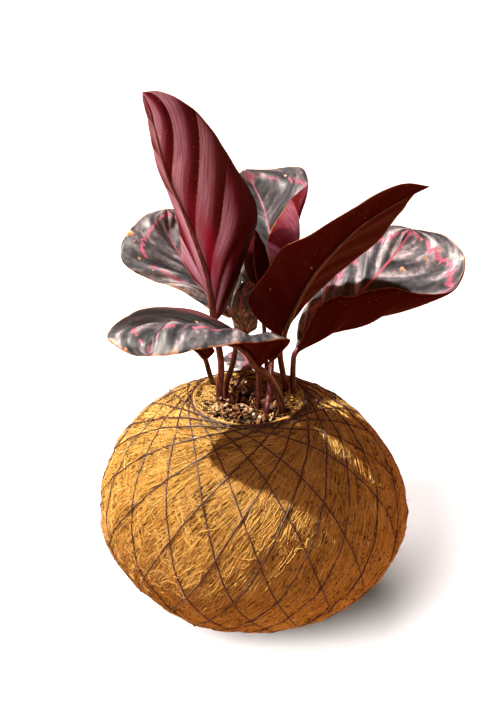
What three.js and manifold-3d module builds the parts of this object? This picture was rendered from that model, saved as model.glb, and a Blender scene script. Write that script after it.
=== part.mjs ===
// Kokedama moss ball plant: calathea leaves on red stalks that rise from a ball of soil, which is
// wrapped in coir fibre and wound with brown twine.
// Millimetres, +Z up the ball's axis, origin at the centre of its flat underside, -Y the side with
// the low leaf, +X the side of the long raised leaf.
import * as THREE from "three";
import { mergeVertices } from "three/addons/utils/BufferGeometryUtils.js";
import Module from "manifold-3d";

const wasm = await Module();
wasm.setup();

// The ball is two half ellipsoids that meet at its widest ring.
const ball = {
  radius: 80, // at the widest ring
  middle: 57, // height of the widest ring
  rise: 68.5, // from the widest ring to the crown of the full ellipsoid
  drop: 58.5, // from the widest ring to its foot, which the floor cuts flat
  lean: -0.03, // sideways drift of the axis per millimetre of height
  around: 32, // facets around
};
// Two slow waves make the hand-wound ball uneven: share of the radius, swells around, and height
// in millimetres over which a swell turns.
const swells = [
  { share: 0.007, around: 3, height: 25 },
  { share: 0.005, around: 5, height: -18 },
];
const wrap = {
  thickness: 3.5,
  mouthLatitude: 68.5, // in degrees, where the coir ends round the opening
  wallLatitude: 66, // where its inner wall ends
  lipHeight: 0.8,
  lipInset: 3,
  outerRings: 12,
  innerRings: 9,
};
const clearance = 0.35; // between pieces that touch on the real plant
const soil = {
  shoulderReach: 22,
  shoulderHeight: 118,
  crownReach: 12,
  crownEdgeHeight: 119,
  crownHeight: 119.5,
};
const bark = {
  pieces: 20,
  reach: 21,
  longest: 7.5,
  shortest: 4,
  width: 2.6,
  depth: 3.2,
  tilt: 0.5, // in radians, from flat
  slope: 0.05, // fall of the soil per millimetre from the middle
  spacing: 3, // from a stalk's axis to a chip
  seed: 11,
};
const rhizome = { radius: 17, bottom: 91, top: 103, roundness: 0.6, rings: 8, around: 14 };
const twine = {
  turns: 19, // strands that run each way round the ball
  advance: 22 / 19, // turns round the axis for each turn over top and bottom
  thickness: 1.1,
  topLatitude: 68.5,
  bottomLatitude: 63,
  lowerLayer: 1.9, // height of the first strands over the coir
  upperLayer: 3.55, // height of the strands that cross over them
  phase: 0.09,
  steepening: 0.45, // how much steeper the lower strands run round the ball's middle
  steps: 13, // along one strand
  nudge: 0.01, // of a turn, to find a strand's direction
  bandHalfWidth: 0.7, // in degrees, of the bunched strands where they turn back
  bandCover: 0.66, // how far the bunch reaches past the layers
};
const blade = {
  thickness: 0.8,
  tipHalfWidth: 0.7, // the edge stands this far out at the tip, so that no row is a point
  fullWidth: 14, // a half at least this wide arches and ripples fully
  veinSlant: 0.3, // how far a ripple runs towards the tip from midrib to edge
  keelEnd: 0.3, // height of the midrib's keel at the tip
};
const stalk = {
  sides: 7,
  steps: 9,
  buriedShare: 0.6, // the foot's distance from the middle, as a share of that at the soil's top
  footHeight: 103.5,
  overlap: 0.08, // share of the midrib that the stalk runs along
  holeAbove: 3, // the cutting shape of a stalk's hole ends this far over the soil
  holeBelow: 2, // and starts this far under the stalk's foot
};
const random = { factor: 1664525, step: 1013904223, range: 4294967296 };

// Each leaf's curves run from the base of its blade to its tip. Left and right are as seen from the
// upper side with the tip up. A fold curve is passed halfway out, where a half turns over. Arch is
// how far a half bulges to the upper side, and ripple how high its slanting folds stand.
const leaves = {
  leaf_tall: {
    stalk: [[-17, 0, 121], [-16, -6, 143], [-18, -12, 162]],
    midrib: [[-19, -15, 172], [-22, -25, 203], [-31, -33, 235], [-41, -37, 262], [-47, -41, 289],
      [-52, -41, 304]],
    left: [[-17, -14, 174], [-12, -8, 181], [-5, -7, 202], [2, -14, 231], [-7, -20, 255],
      [-19, -27, 278], [-30, -33, 294], [-43, -38, 303], [-52, -41, 304]],
    leftFold: [[-18, -14, 173], [-14, -18, 191], [-12, -24, 210], [-12, -30, 228], [-18, -34, 246],
      [-25, -38, 263], [-32, -40, 279], [-41, -42, 294], [-52, -41, 304]],
    right: [[-21, -16, 185], [-30, -12, 195], [-35, -8, 205], [-38, -2, 224], [-41, 0, 233],
      [-47, -4, 251], [-50, -15, 274], [-52, -31, 295], [-52, -41, 304]],
    rows: 22, columns: 4, radius: 1.7, arch: 3, ripples: 6, ripple: 2.2,
  },
  leaf_left: {
    stalk: [[-14, 5, 122], [-10, 1, 142], [-8, 0, 158]],
    midrib: [[-10, 0, 170], [-20, 4, 178], [-31, 11, 187], [-38, 19, 195], [-43, 27, 203],
      [-44, 35, 213]],
    left: [[-11, 2, 167], [-21, -3, 174], [-36, -1, 183], [-52, 3, 188], [-64, 7, 193],
      [-67, 13, 200], [-62, 23, 207], [-55, 31, 211], [-44, 35, 213]],
    right: [[-8, 3, 173], [-6, 14, 180], [-9, 27, 187], [-16, 37, 195], [-27, 43, 203],
      [-36, 41, 209], [-44, 35, 213]],
    rows: 18, columns: 4, radius: 1.4, arch: 3, ripples: 5, ripple: 1.4,
  },
  leaf_low_front: {
    stalk: [[15, -14, 122], [10, -25, 143], [5, -32, 153]],
    midrib: [[3, -33, 155], [-3, -36, 167], [-15, -39, 174], [-30, -42, 180], [-42, -46, 184],
      [-48, -54, 182], [-50, -61, 176]],
    left: [[6, -36, 157], [13, -39, 166], [18, -41, 175], [1, -55, 180], [-14, -62, 182],
      [-31, -65, 180], [-41, -64, 178], [-50, -61, 176]],
    leftFold: [[8, -37, 162], [11, -35, 169], [10, -35, 175], [-1, -41, 178], [-14, -45, 183],
      [-31, -49, 187], [-43, -53, 186], [-50, -61, 177]],
    right: [[2, -31, 155], [-3, -28, 162], [-8, -23, 169], [-21, -26, 180], [-32, -25, 184],
      [-44, -25, 185], [-57, -29, 185], [-67, -37, 182], [-71, -46, 179], [-66, -53, 177],
      [-58, -58, 175], [-50, -61, 176]],
    rows: 20, columns: 4, radius: 2, arch: 2, ripples: 5, ripple: 1,
  },
  leaf_back: {
    stalk: [[7, -15, 122], [9, -8, 133], [10, -1, 148], [11, -1, 164]],
    midrib: [[12, -2, 179], [10, 0, 191], [9, 5, 209], [6, 15, 221], [1, 23, 230], [-4, 27, 238]],
    left: [[9, -4, 180], [-1, 2, 182], [-10, 11, 193], [-14, 20, 208], [-13, 27, 222],
      [-9, 29, 232], [-4, 27, 238]],
    right: [[14, -6, 182], [9, -10, 200], [7, -13, 211], [8, -11, 220], [15, -7, 231],
      [22, -1, 237], [26, 7, 240], [25, 17, 242], [19, 25, 240], [8, 29, 237], [-4, 27, 238]],
    rightFold: [[16, -7, 184], [19, -11, 202], [22, -16, 219], [24, -15, 231], [25, -10, 238],
      [23, 0, 240], [16, 14, 238], [5, 24, 237], [-4, 27, 238]],
    rows: 18, columns: 4, radius: 1.4, arch: 3, ripples: 5, ripple: 1.2,
  },
  leaf_right_front: {
    stalk: [[17, 6, 122], [16, 0, 134], [14, -7, 151]],
    midrib: [[16, -13, 163], [17, -18, 171], [23, -25, 190], [33, -31, 210], [51, -38, 234],
      [69, -41, 248], [84, -43, 257]],
    left: [[17, -9, 162], [19, -7, 167], [33, -8, 186], [49, -9, 202], [62, -13, 216],
      [72, -21, 234], [78, -33, 249], [84, -43, 257]],
    right: [[14, -10, 162], [5, -22, 175], [-2, -27, 190], [6, -32, 206], [15, -36, 222],
      [25, -40, 229], [37, -43, 238], [50, -46, 248], [63, -48, 257], [73, -47, 260],
      [84, -43, 257]],
    rows: 20, columns: 4, radius: 1.5, arch: 3, ripples: 6, ripple: 0.9,
  },
  leaf_right_back: {
    stalk: [[21, 2, 121], [21, 4, 128], [21, 4, 139]],
    midrib: [[22, 5, 146], [31, 10, 155], [44, 20, 163], [57, 29, 170], [68, 39, 178],
      [77, 49, 185], [84, 58, 192]],
    left: [[23, 7, 148], [25, 22, 156], [34, 40, 165], [49, 56, 178], [61, 62, 188], [74, 62, 192],
      [84, 58, 192]],
    right: [[23, 3, 150], [35, 8, 172], [51, 12, 176], [69, 15, 178], [84, 17, 174],
      [101, 21, 173], [108, 30, 178], [110, 42, 184], [102, 52, 190], [93, 57, 191], [84, 58, 192]],
    rightFold: [[23, 4, 146], [40, 8, 155], [59, 13, 159], [78, 18, 164], [93, 24, 169],
      [100, 32, 173], [102, 40, 178], [99, 48, 183], [93, 55, 188], [84, 58, 192]],
    rows: 20, columns: 4, radius: 1.5, arch: 3, ripples: 6, ripple: 1.2,
  },
  leaf_rolled: {
    stalk: [[8, 8, 122], [7, 4, 142], [6, -1, 161]],
    midrib: [[5, -6, 181], [3, -5, 191], [1, -5, 203], [1, -4, 218]],
    left: [[6, -5, 182], [8, -4, 194], [7, -3, 205], [4, -3, 212], [1, -4, 218]],
    right: [[4, -5, 182], [-1, -2, 189], [-4, -1, 200], [-1, -2, 210], [1, -4, 218]],
    rows: 9, columns: 2, radius: 1.1, arch: -1.5, ripples: 3, ripple: 0,
  },
  leaf_inner: {
    stalk: [[3, -12, 122], [3, -12, 134], [2, -12, 149]],
    midrib: [[-3, -10, 163], [-5, -10, 173], [-6, -10, 181], [-4, -9, 186], [0, -8, 191]],
    left: [[-5, -9, 163], [-9, -8, 167], [-10, -9, 178], [-8, -7, 185], [-5, -7, 190], [0, -8, 191]],
    right: [[-2, -8, 163], [2, -6, 166], [1, -9, 179], [1, -8, 186], [1, -8, 189], [0, -8, 191]],
    rows: 9, columns: 2, radius: 1.1, arch: 1.5, ripples: 3, ripple: 0.4,
  },
  leaf_low_left: {
    stalk: [[-20, 13, 122], [-22, 11, 129], [-24, 8, 139]],
    midrib: [[-25, 7, 142], [-27, 5, 146], [-32, 0, 152], [-38, -6, 157]],
    left: [[-23, 6, 142], [-20, 4, 148], [-27, -3, 155], [-38, -6, 157]],
    right: [[-26, 8, 142], [-31, 9, 146], [-34, 6, 151], [-38, -6, 157]],
    rows: 7, columns: 2, radius: 1.3, arch: -1.5, ripples: 3, ripple: 0,
  },
  leaf_low_back: {
    stalk: [[-9, 8, 121], [-7, 12, 126], [-4, 16, 128]],
    midrib: [[-3, 19, 128], [-3, 26, 129], [-4, 36, 128], [-7, 46, 126]],
    left: [[-5, 20, 128], [-11, 26, 127], [-15, 36, 126], [-12, 44, 126], [-7, 46, 126]],
    right: [[-1, 20, 128], [3, 28, 127], [3, 38, 126], [-1, 45, 126], [-7, 46, 126]],
    rows: 8, columns: 2, radius: 1.1, arch: 2, ripples: 3, ripple: 0.4,
  },
};

const radians = THREE.MathUtils.degToRad;
const upAxis = new THREE.Vector3(0, 0, 1);

// Evenly spaced values from one end to the other, both included.
function spread(from, to, steps) {
  return Array.from({ length: steps + 1 }, (_, i) => from + ((to - from) * i) / steps);
}

function toSolid(geometry) {
  const bare = geometry.index ? geometry.toNonIndexed() : geometry.clone();
  bare.deleteAttribute("normal");
  bare.deleteAttribute("uv");
  const merged = mergeVertices(bare, 1e-4);
  return new wasm.Manifold(
    new wasm.Mesh({
      numProp: 3,
      vertProperties: merged.attributes.position.array,
      triVerts: new Uint32Array(merged.index.array),
    }),
  );
}

function toGeometry(solid) {
  const mesh = solid.getMesh();
  const geometry = new THREE.BufferGeometry();
  geometry.setAttribute("position", new THREE.BufferAttribute(mesh.vertProperties, 3));
  geometry.setIndex(new THREE.BufferAttribute(mesh.triVerts, 1));
  geometry.computeVertexNormals();
  return geometry;
}

// Fusing can seal a tiny hollow or leave a scrap: only the outer body of the largest piece is kept.
function largestBody(solid) {
  return solid.decompose().reduce((most, body) => (body.volume() > most.volume() ? body : most));
}

function addAll(solids) {
  return solids.reduce((whole, solid) => whole.add(solid));
}

// A closed mesh from a grid of rings: each ring is joined to the next, and the ends are capped.
function ringsToGeometry(rings) {
  const count = rings[0].length;
  const corners = rings.flat();
  const faces = [];
  for (let ring = 0; ring < rings.length - 1; ring++) {
    for (let side = 0; side < count; side++) {
      const next = (side + 1) % count;
      const a = ring * count + side;
      const b = ring * count + next;
      faces.push(a, b, b + count, a, b + count, a + count);
    }
  }
  const last = (rings.length - 1) * count;
  for (let side = 1; side < count - 1; side++) {
    faces.push(0, side + 1, side, last, last + side, last + side + 1);
  }
  const geometry = new THREE.BufferGeometry().setFromPoints(corners);
  geometry.setIndex(faces);
  return geometry;
}

// The rings of corners round a curve, for a round tube with this many sides.
function ringsAlong(curve, steps, sides, radius) {
  const frames = curve.computeFrenetFrames(steps);
  const rings = [];
  for (let step = 0; step <= steps; step++) {
    const centre = curve.getPointAt(step / steps);
    const ring = [];
    for (let side = 0; side < sides; side++) {
      const angle = (2 * Math.PI * side) / sides;
      const spoke = frames.normals[step].clone().multiplyScalar(Math.cos(angle));
      spoke.addScaledVector(frames.binormals[step], Math.sin(angle));
      ring.push(centre.clone().addScaledVector(spoke, radius));
    }
    rings.push(ring);
  }
  return rings;
}

function smoothCurve(points) {
  const vectors = points.map((point) => new THREE.Vector3(...point));
  return new THREE.CatmullRomCurve3(vectors, false, "catmullrom", 0.5);
}

// The ball

// Moves a point of the true ball to where it is on the uneven, leaning one.
function settle(point) {
  const azimuth = Math.atan2(point.y, point.x);
  const swell = swells.reduce(
    (sum, { share, around, height }) => sum + share * Math.sin(around * azimuth + point.z / height),
    1,
  );
  point.x = point.x * swell + ball.lean * (point.z - ball.middle);
  point.y *= swell;
  return point;
}

function settleGeometry(geometry) {
  const places = geometry.attributes.position;
  for (let i = 0; i < places.count; i++) {
    const point = settle(new THREE.Vector3().fromBufferAttribute(places, i));
    places.setXYZ(i, point.x, point.y, point.z);
  }
  return geometry;
}

// A point of the half section at a latitude in degrees, lifted off the coir's surface.
function sectionPoint(latitude, lift) {
  const angle = radians(latitude);
  const height = (latitude > 0 ? ball.rise : ball.drop) + lift;
  const reach = ball.radius + lift;
  return new THREE.Vector2(reach * Math.cos(angle), ball.middle + height * Math.sin(angle));
}

function revolve(section) {
  const geometry = new THREE.LatheGeometry(section, ball.around);
  geometry.rotateX(Math.PI / 2);
  return settleGeometry(geometry);
}

// The wall that wrap and soil share, from the foot up to the mouth.
function wallSection(lift) {
  const latitudes = spread(-90, wrap.wallLatitude, wrap.innerRings);
  const section = latitudes.map((latitude) => sectionPoint(latitude, lift));
  section[0].x = 0;
  return section;
}

function coirWrap() {
  const floorLatitude = -THREE.MathUtils.radToDeg(Math.asin(ball.middle / ball.drop));
  const latitudes = spread(floorLatitude, wrap.mouthLatitude, wrap.outerRings);
  const outside = latitudes.map((latitude) => sectionPoint(latitude, 0));
  const inside = wallSection(-wrap.thickness).reverse();
  outside[0].y = 0;
  const rim = outside.at(-1);
  const lip = [
    new THREE.Vector2(rim.x - wrap.lipInset / 2, rim.y + wrap.lipHeight),
    new THREE.Vector2(rim.x - wrap.lipInset, rim.y + wrap.lipHeight / 2),
    new THREE.Vector2(rim.x - wrap.lipInset, rim.y - wrap.lipHeight),
  ];
  return revolve([new THREE.Vector2(0, 0), ...outside, ...lip, ...inside]);
}

function soilBody() {
  const side = wallSection(-wrap.thickness - 2 * clearance);
  const top = [
    new THREE.Vector2(soil.shoulderReach, soil.shoulderHeight),
    new THREE.Vector2(soil.crownReach, soil.crownEdgeHeight),
    new THREE.Vector2(0, soil.crownHeight),
  ];
  return toSolid(revolve([...side, ...top]));
}

// The clump that the stalks grow from, or, with a margin, the hollow that it fills in the soil.
function rhizomeGeometry(margin) {
  const middle = (rhizome.bottom + rhizome.top) / 2;
  const halfHeight = (rhizome.top - rhizome.bottom) / 2 + margin;
  const section = spread(-90, 90, rhizome.rings).map((latitude) => {
    const reach = (rhizome.radius + margin) * Math.cos(radians(latitude)) ** rhizome.roundness;
    return new THREE.Vector2(reach, middle + halfHeight * Math.sin(radians(latitude)));
  });
  section[0].x = 0;
  section.at(-1).x = 0;
  return new THREE.LatheGeometry(section, rhizome.around).rotateX(Math.PI / 2);
}

function seededRandom(seed) {
  let state = seed;
  return () => {
    state = (state * random.factor + random.step) % random.range;
    return state / random.range;
  };
}

// Chips of bark lie on the soil at random, clear of every stalk.
function barkChips() {
  const draw = seededRandom(bark.seed);
  const feet = Object.values(leaves).map((leaf) => leaf.stalk[0]);
  const chips = [];
  while (chips.length < bark.pieces) {
    const away = bark.reach * Math.sqrt(draw());
    const around = 2 * Math.PI * draw();
    const x = away * Math.cos(around) + ball.lean * (soil.crownHeight - ball.middle);
    const y = away * Math.sin(around);
    const length = THREE.MathUtils.lerp(bark.shortest, bark.longest, draw());
    const turn = new THREE.Euler(bark.tilt * (draw() - 0.5), bark.tilt * (draw() - 0.5), Math.PI * draw());
    const room = bark.spacing + length / 2;
    const crowded = feet.some((foot) => Math.hypot(foot[0] - x, foot[1] - y) < room);
    if (!crowded) {
      const chip = new THREE.BoxGeometry(length, bark.width, bark.depth);
      chip.applyQuaternion(new THREE.Quaternion().setFromEuler(turn));
      chips.push(toSolid(chip.translate(x, y, soil.crownHeight - bark.slope * away)));
    }
  }
  return chips;
}

function soilCore() {
  const holes = Object.values(leaves).map(stalkHole);
  const whole = addAll([soilBody(), ...barkChips()]);
  return whole.subtract(addAll([toSolid(rhizomeGeometry(clearance)), ...holes]));
}

// The twine

// A strand runs from the top ring to the bottom ring, as turn goes from 0 to half a turn. It is a
// great circle that is drawn on round the axis, because the rough coir holds it off the short way.
function twinePoint(turn, start, direction, lift) {
  const down = turn / Math.PI;
  const tilt = radians(THREE.MathUtils.lerp(twine.topLatitude, twine.bottomLatitude, down));
  const latitude = THREE.MathUtils.radToDeg(Math.asin(Math.sin(tilt) * Math.cos(turn)));
  const around = Math.atan2(Math.sin(turn), Math.cos(turn) * Math.cos(tilt));
  const steeper = direction > 0 ? (twine.steepening / 2) * Math.sin(2 * around) : 0;
  const azimuth = start + direction * twine.advance * around + steeper;
  const section = sectionPoint(latitude, lift);
  const point = new THREE.Vector3(section.x, 0, section.y);
  return settle(point.applyAxisAngle(upAxis, azimuth));
}

// A strand has three sides, one of them flat on the coir.
function twineStrand(start, direction, lift) {
  const place = (turn, height) => twinePoint(turn, start, direction, height);
  const radius = twine.thickness / 2;
  const rings = spread(0, Math.PI, twine.steps).map((turn) => {
    const centre = place(turn, lift);
    const outward = place(turn, lift + radius).sub(centre).normalize();
    const forward = place(turn + twine.nudge, lift).sub(place(turn - twine.nudge, lift)).normalize();
    const sideways = forward.clone().cross(outward);
    return [0, 1, 2].map((side) => {
      const angle = (2 * Math.PI * side) / 3;
      const corner = centre.clone().addScaledVector(outward, Math.cos(angle) * radius);
      return corner.addScaledVector(sideways, Math.sin(angle) * radius);
    });
  });
  return toSolid(ringsToGeometry(rings));
}

// Where the strands turn back, they bunch into a band.
function twineBand(latitude) {
  const inner = twine.lowerLayer - twine.bandCover;
  const outer = twine.upperLayer + twine.bandCover;
  const edges = [latitude - twine.bandHalfWidth, latitude + twine.bandHalfWidth];
  const section = [
    sectionPoint(edges[0], inner),
    sectionPoint(edges[0], outer),
    sectionPoint(edges[1], outer),
    sectionPoint(edges[1], inner),
    sectionPoint(edges[0], inner),
  ];
  return toSolid(revolve(section));
}

function twineNet() {
  const pieces = [twineBand(twine.topLatitude), twineBand(-twine.bottomLatitude)];
  for (let turn = 0; turn < twine.turns; turn++) {
    const start = twine.phase + (2 * Math.PI * turn) / twine.turns;
    pieces.push(twineStrand(start, 1, twine.lowerLayer));
    pieces.push(twineStrand(start, -1, twine.upperLayer));
  }
  return largestBody(addAll(pieces));
}

// The leaves

// A point of one half of the blade: side is -1 or 1, out goes from 0 at the midrib to 1 at the edge.
function halfPoint(row, side, out, along, leaf) {
  const across = row.edge.clone().sub(row.centre);
  const upward = side > 0 ? across.clone().cross(row.tangent) : row.tangent.clone().cross(across);
  upward.normalize();
  const width = across.length();
  const fullness = Math.min(1, width / blade.fullWidth);
  const control = row.centre.clone().add(row.edge).multiplyScalar(0.5);
  if (row.fold) {
    control.negate().addScaledVector(row.fold, 2);
  } else {
    control.addScaledVector(upward, 2 * leaf.arch * fullness);
  }
  const point = row.centre.clone().multiplyScalar((1 - out) ** 2);
  point.addScaledVector(control, 2 * out * (1 - out)).addScaledVector(row.edge, out ** 2);
  const wave = Math.sin(2 * Math.PI * leaf.ripples * (along - blade.veinSlant * out));
  const fade = Math.sin(Math.PI * out) * Math.sqrt(Math.sin(Math.PI * along));
  return point.addScaledVector(upward, wave * fade * leaf.ripple * fullness);
}

// The middle surface of a blade, as rows from base to tip and columns from left edge to right edge.
function bladeGrid(leaf) {
  const midrib = smoothCurve(leaf.midrib);
  const halfLeaf = (side, edge, fold) => ({
    side,
    edge: smoothCurve(edge),
    fold: fold && smoothCurve(fold),
  });
  const sides = [halfLeaf(-1, leaf.left, leaf.leftFold), halfLeaf(1, leaf.right, leaf.rightFold)];
  const grid = [];
  const outward = [];
  for (let i = 0; i <= leaf.rows; i++) {
    const along = i / leaf.rows;
    const centre = midrib.getPointAt(along);
    const tangent = midrib.getTangentAt(along);
    const halves = sides.map(({ side, edge, fold }, half) => {
      const tip = edge.getPointAt(along);
      if (i < leaf.rows) outward[half] = tip.clone().sub(centre).normalize();
      tip.addScaledVector(outward[half], blade.tipHalfWidth);
      const row = { centre, tangent, edge: tip, fold: fold && fold.getPointAt(along) };
      return spread(0, 1, leaf.columns).map((out) => halfPoint(row, side, out, along, leaf));
    });
    grid.push([...halves[0].reverse(), ...halves[1].slice(1)]);
  }
  return grid;
}

function gridNormals(grid) {
  const pick = (list, i) => list[THREE.MathUtils.clamp(i, 0, list.length - 1)];
  return grid.map((row, i) =>
    row.map((_, j) => {
      const along = pick(grid, i + 1)[j].clone().sub(pick(grid, i - 1)[j]);
      const across = pick(row, j + 1).clone().sub(pick(row, j - 1));
      return across.cross(along).normalize();
    }),
  );
}

// The blade as a closed sheet: an upper and a lower face split alike, joined round the edge. The lower
// face stands out along the midrib as a keel.
function bladeSolid(leaf) {
  const grid = bladeGrid(leaf);
  const normals = gridNormals(grid);
  const rings = grid.map((row, i) => {
    const raised = (rise) => row.map((point, j) => point.clone().addScaledVector(normals[i][j], rise));
    const upper = raised(blade.thickness / 2);
    const lower = raised(-blade.thickness / 2);
    const keel = THREE.MathUtils.lerp(leaf.radius, blade.keelEnd, i / leaf.rows);
    lower[leaf.columns].addScaledVector(normals[i][leaf.columns], -keel);
    return [...upper, ...lower.reverse()];
  });
  const count = rings[0].length;
  const half = count / 2;
  const faces = [];
  const quad = (a, b, c, d) => faces.push(a, b, c, a, c, d);
  for (let i = 0; i < rings.length - 1; i++) {
    const row = i * count;
    for (let j = 0; j < half - 1; j++) {
      const upper = row + j;
      const lower = row + count - 1 - j;
      quad(upper, upper + 1, upper + 1 + count, upper + count);
      quad(lower, lower + count, lower - 1 + count, lower - 1);
    }
    quad(row + half - 1, row + half, row + half + count, row + half - 1 + count);
    quad(row + count - 1, row, row + count, row + 2 * count - 1);
  }
  const last = (rings.length - 1) * count;
  for (let j = 0; j < half - 1; j++) {
    quad(j, count - 1 - j, count - 2 - j, j + 1);
    quad(last + j, last + j + 1, last + count - 2 - j, last + count - 1 - j);
  }
  const geometry = new THREE.BufferGeometry().setFromPoints(rings.flat());
  geometry.setIndex(faces);
  return toSolid(geometry);
}

// The stalk's line from its foot in the soil to a little way up the midrib.
function stalkCurve(leaf) {
  const [x, y] = leaf.stalk[0];
  const foot = [stalk.buriedShare * x, stalk.buriedShare * y, stalk.footHeight];
  const join = smoothCurve(leaf.midrib).getPointAt(stalk.overlap).toArray();
  return smoothCurve([foot, ...leaf.stalk, leaf.midrib[0], join]);
}

function stalkSolid(leaf) {
  const rings = ringsAlong(stalkCurve(leaf), stalk.steps, stalk.sides, leaf.radius);
  return toSolid(ringsToGeometry(rings));
}

// The hole takes the stalk's own rings, wider, from under its foot to the first one clear of the soil.
function stalkHole(leaf) {
  const curve = stalkCurve(leaf);
  const radius = (leaf.radius + clearance) / Math.cos(Math.PI / stalk.sides);
  const rings = ringsAlong(curve, stalk.steps, stalk.sides, radius);
  const topHeight = soil.crownHeight + stalk.holeAbove;
  const clear = rings.findIndex((ring) => ring.every((corner) => corner.z > topHeight));
  const down = curve.getTangentAt(0).multiplyScalar(-stalk.holeBelow);
  const under = rings[0].map((corner) => corner.clone().add(down));
  return toSolid(ringsToGeometry([under, ...rings.slice(0, clear + 1)]));
}

// The assembly

// Each material's colour and roughness are the real one's.
const materials = {
  coir: new THREE.MeshStandardMaterial({ color: "#b8751f", roughness: 0.95, metalness: 0 }),
  soil: new THREE.MeshStandardMaterial({ color: "#5a4028", roughness: 1, metalness: 0 }),
  rhizome: new THREE.MeshStandardMaterial({ color: "#8a6a44", roughness: 0.9, metalness: 0 }),
  twine: new THREE.MeshStandardMaterial({ color: "#3a2018", roughness: 0.7, metalness: 0 }),
  leaf: new THREE.MeshStandardMaterial({ color: "#6e2a36", roughness: 0.45, metalness: 0 }),
};

const plant = new THREE.Group();

function addMesh(name, geometry, material) {
  const mesh = new THREE.Mesh(geometry, material);
  mesh.name = name;
  plant.add(mesh);
}

addMesh("coir_wrap", coirWrap(), materials.coir);
addMesh("soil_core", toGeometry(soilCore()), materials.soil);
addMesh("rhizome", rhizomeGeometry(0), materials.rhizome);
addMesh("twine_net", toGeometry(twineNet()), materials.twine);
for (const [name, leaf] of Object.entries(leaves)) {
  addMesh(name, toGeometry(largestBody(bladeSolid(leaf).add(stalkSolid(leaf)))), materials.leaf);
}

export default plant;
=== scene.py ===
import functools
import math
import bpy
import numpy as np
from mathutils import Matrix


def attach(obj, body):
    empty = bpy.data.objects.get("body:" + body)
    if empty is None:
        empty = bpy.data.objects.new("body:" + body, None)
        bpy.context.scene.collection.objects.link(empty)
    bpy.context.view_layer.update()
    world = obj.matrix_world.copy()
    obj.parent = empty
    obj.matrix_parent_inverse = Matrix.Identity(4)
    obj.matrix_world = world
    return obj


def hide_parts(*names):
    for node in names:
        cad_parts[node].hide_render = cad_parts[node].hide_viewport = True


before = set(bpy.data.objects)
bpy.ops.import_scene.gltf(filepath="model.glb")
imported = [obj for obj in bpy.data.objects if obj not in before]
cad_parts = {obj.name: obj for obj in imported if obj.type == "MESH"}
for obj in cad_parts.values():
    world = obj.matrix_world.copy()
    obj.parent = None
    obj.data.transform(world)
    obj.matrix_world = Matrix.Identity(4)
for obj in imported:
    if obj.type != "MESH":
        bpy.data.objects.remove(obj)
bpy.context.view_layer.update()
bpy.ops.object.select_all(action="DESELECT")
mm = 0.001
chance = np.random.default_rng(819)

# Camera, lights and stage

camera = {
    "elevation": 26,  # degrees that it looks down
    "aim": (-3.1, 0, 148),  # mm, the point in the middle of the picture
    "distance": 1250,  # mm from there
    "lens": 124.2,  # mm, as is the sensor's width
    "sensor": 36,
}
light = {
    "sunFrom": -84,  # degrees round from the camera's side, minus is left
    "sunHeight": 50,
    "sunWidth": 1.6,  # degrees, how soft its shadows are
    "sunStrength": 9.6,
    "sunColour": "#fff3e4",
    "skyAbove": "#ff976e",  # warm, as in a room that throws the sun back
    "skyBelow": "#ffb070",
    "aboveStrength": 0.29,
    "belowStrength": 1.1,
    "skyChange": (-0.35, 0.3),  # the heights between which the lower sky turns into the upper one
    # Suns that reach the floor, two leaves or the ball alone, and the ball's own key light, as the
    # sun above lights the leaves only: degrees round, height, strength, width in degrees, colour
    "floorGlow": (-40, 27, 48, 46, "#ff976e"),
    "floorTop": (-130, 66, 19, 60, "#ff976e"),
    "leafFill": (-28, 26, 2.9, 12, "#fff0f6"),
    "ballFill": (-18, 28, 0.6, 60, "#fffaf0"),
    "ballKey": (-90, 54, 9.6, 1.6, "#fff3e4"),
}
stage = {
    "radius": 6,  # m
    "wall": "#fefefe",
    # The sky's colour turned round, so that the floor looks neutral both in light and in shade
    "paper": (0.15, 0.484, 0.96, 1),
}


def unit(vectors):
    return vectors / np.maximum(np.linalg.norm(vectors, axis=-1, keepdims=True), 1e-12)


def linear(hexColour):  # sRGB hex to the linear values that shaders take
    channels = [int(hexColour[i:i + 2], 16) / 255 for i in (1, 3, 5)]
    return [c / 12.92 if c <= 0.04045 else ((c + 0.055) / 1.055) ** 2.4 for c in channels] + [1]


def addNode(tree, kind, sockets, output=0, stops=(), **settings):  # returns the output asked for
    node = tree.nodes.new("ShaderNode" + kind)
    for name, value in settings.items():
        setattr(node, name, value)
    for name, value in sockets.items():
        if isinstance(value, bpy.types.NodeSocket):
            tree.links.new(value, node.inputs[name])
        else:
            node.inputs[name].default_value = value
    for index, (position, colour) in enumerate(stops):
        if index > 1:
            node.color_ramp.elements.new(1)
        node.color_ramp.elements[index].position = position
        node.color_ramp.elements[index].color = linear(colour)
    return node.outputs[output] if len(node.outputs) else node


def newMaterial(name, surface):  # returns it, and addNode for its own nodes
    material = bpy.data.materials.new(name)
    material.use_nodes = True
    shader = material.node_tree.nodes["Principled BSDF"]
    for socket, value in surface.items():
        shader.inputs[socket].default_value = value
    return material, functools.partial(addNode, material.node_tree)


def dress(material, colour, height=None, strength=0, depth=0):  # links its colour and its relief
    tree = material.node_tree
    inputs = tree.nodes["Principled BSDF"].inputs
    tree.links.new(colour, inputs["Base Color"])
    if height is not None:
        relief = addNode(tree, "Bump", {"Height": height, "Strength": strength, "Distance": depth})
        tree.links.new(relief, inputs["Normal"])
    return material


def directionTo(azimuth, height):  # unit vector towards a light, azimuth 0 is the camera's side
    a, e = math.radians(azimuth), math.radians(height)
    return np.array([math.sin(a) * math.cos(e), -math.cos(a) * math.cos(e), math.sin(e)])


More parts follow.
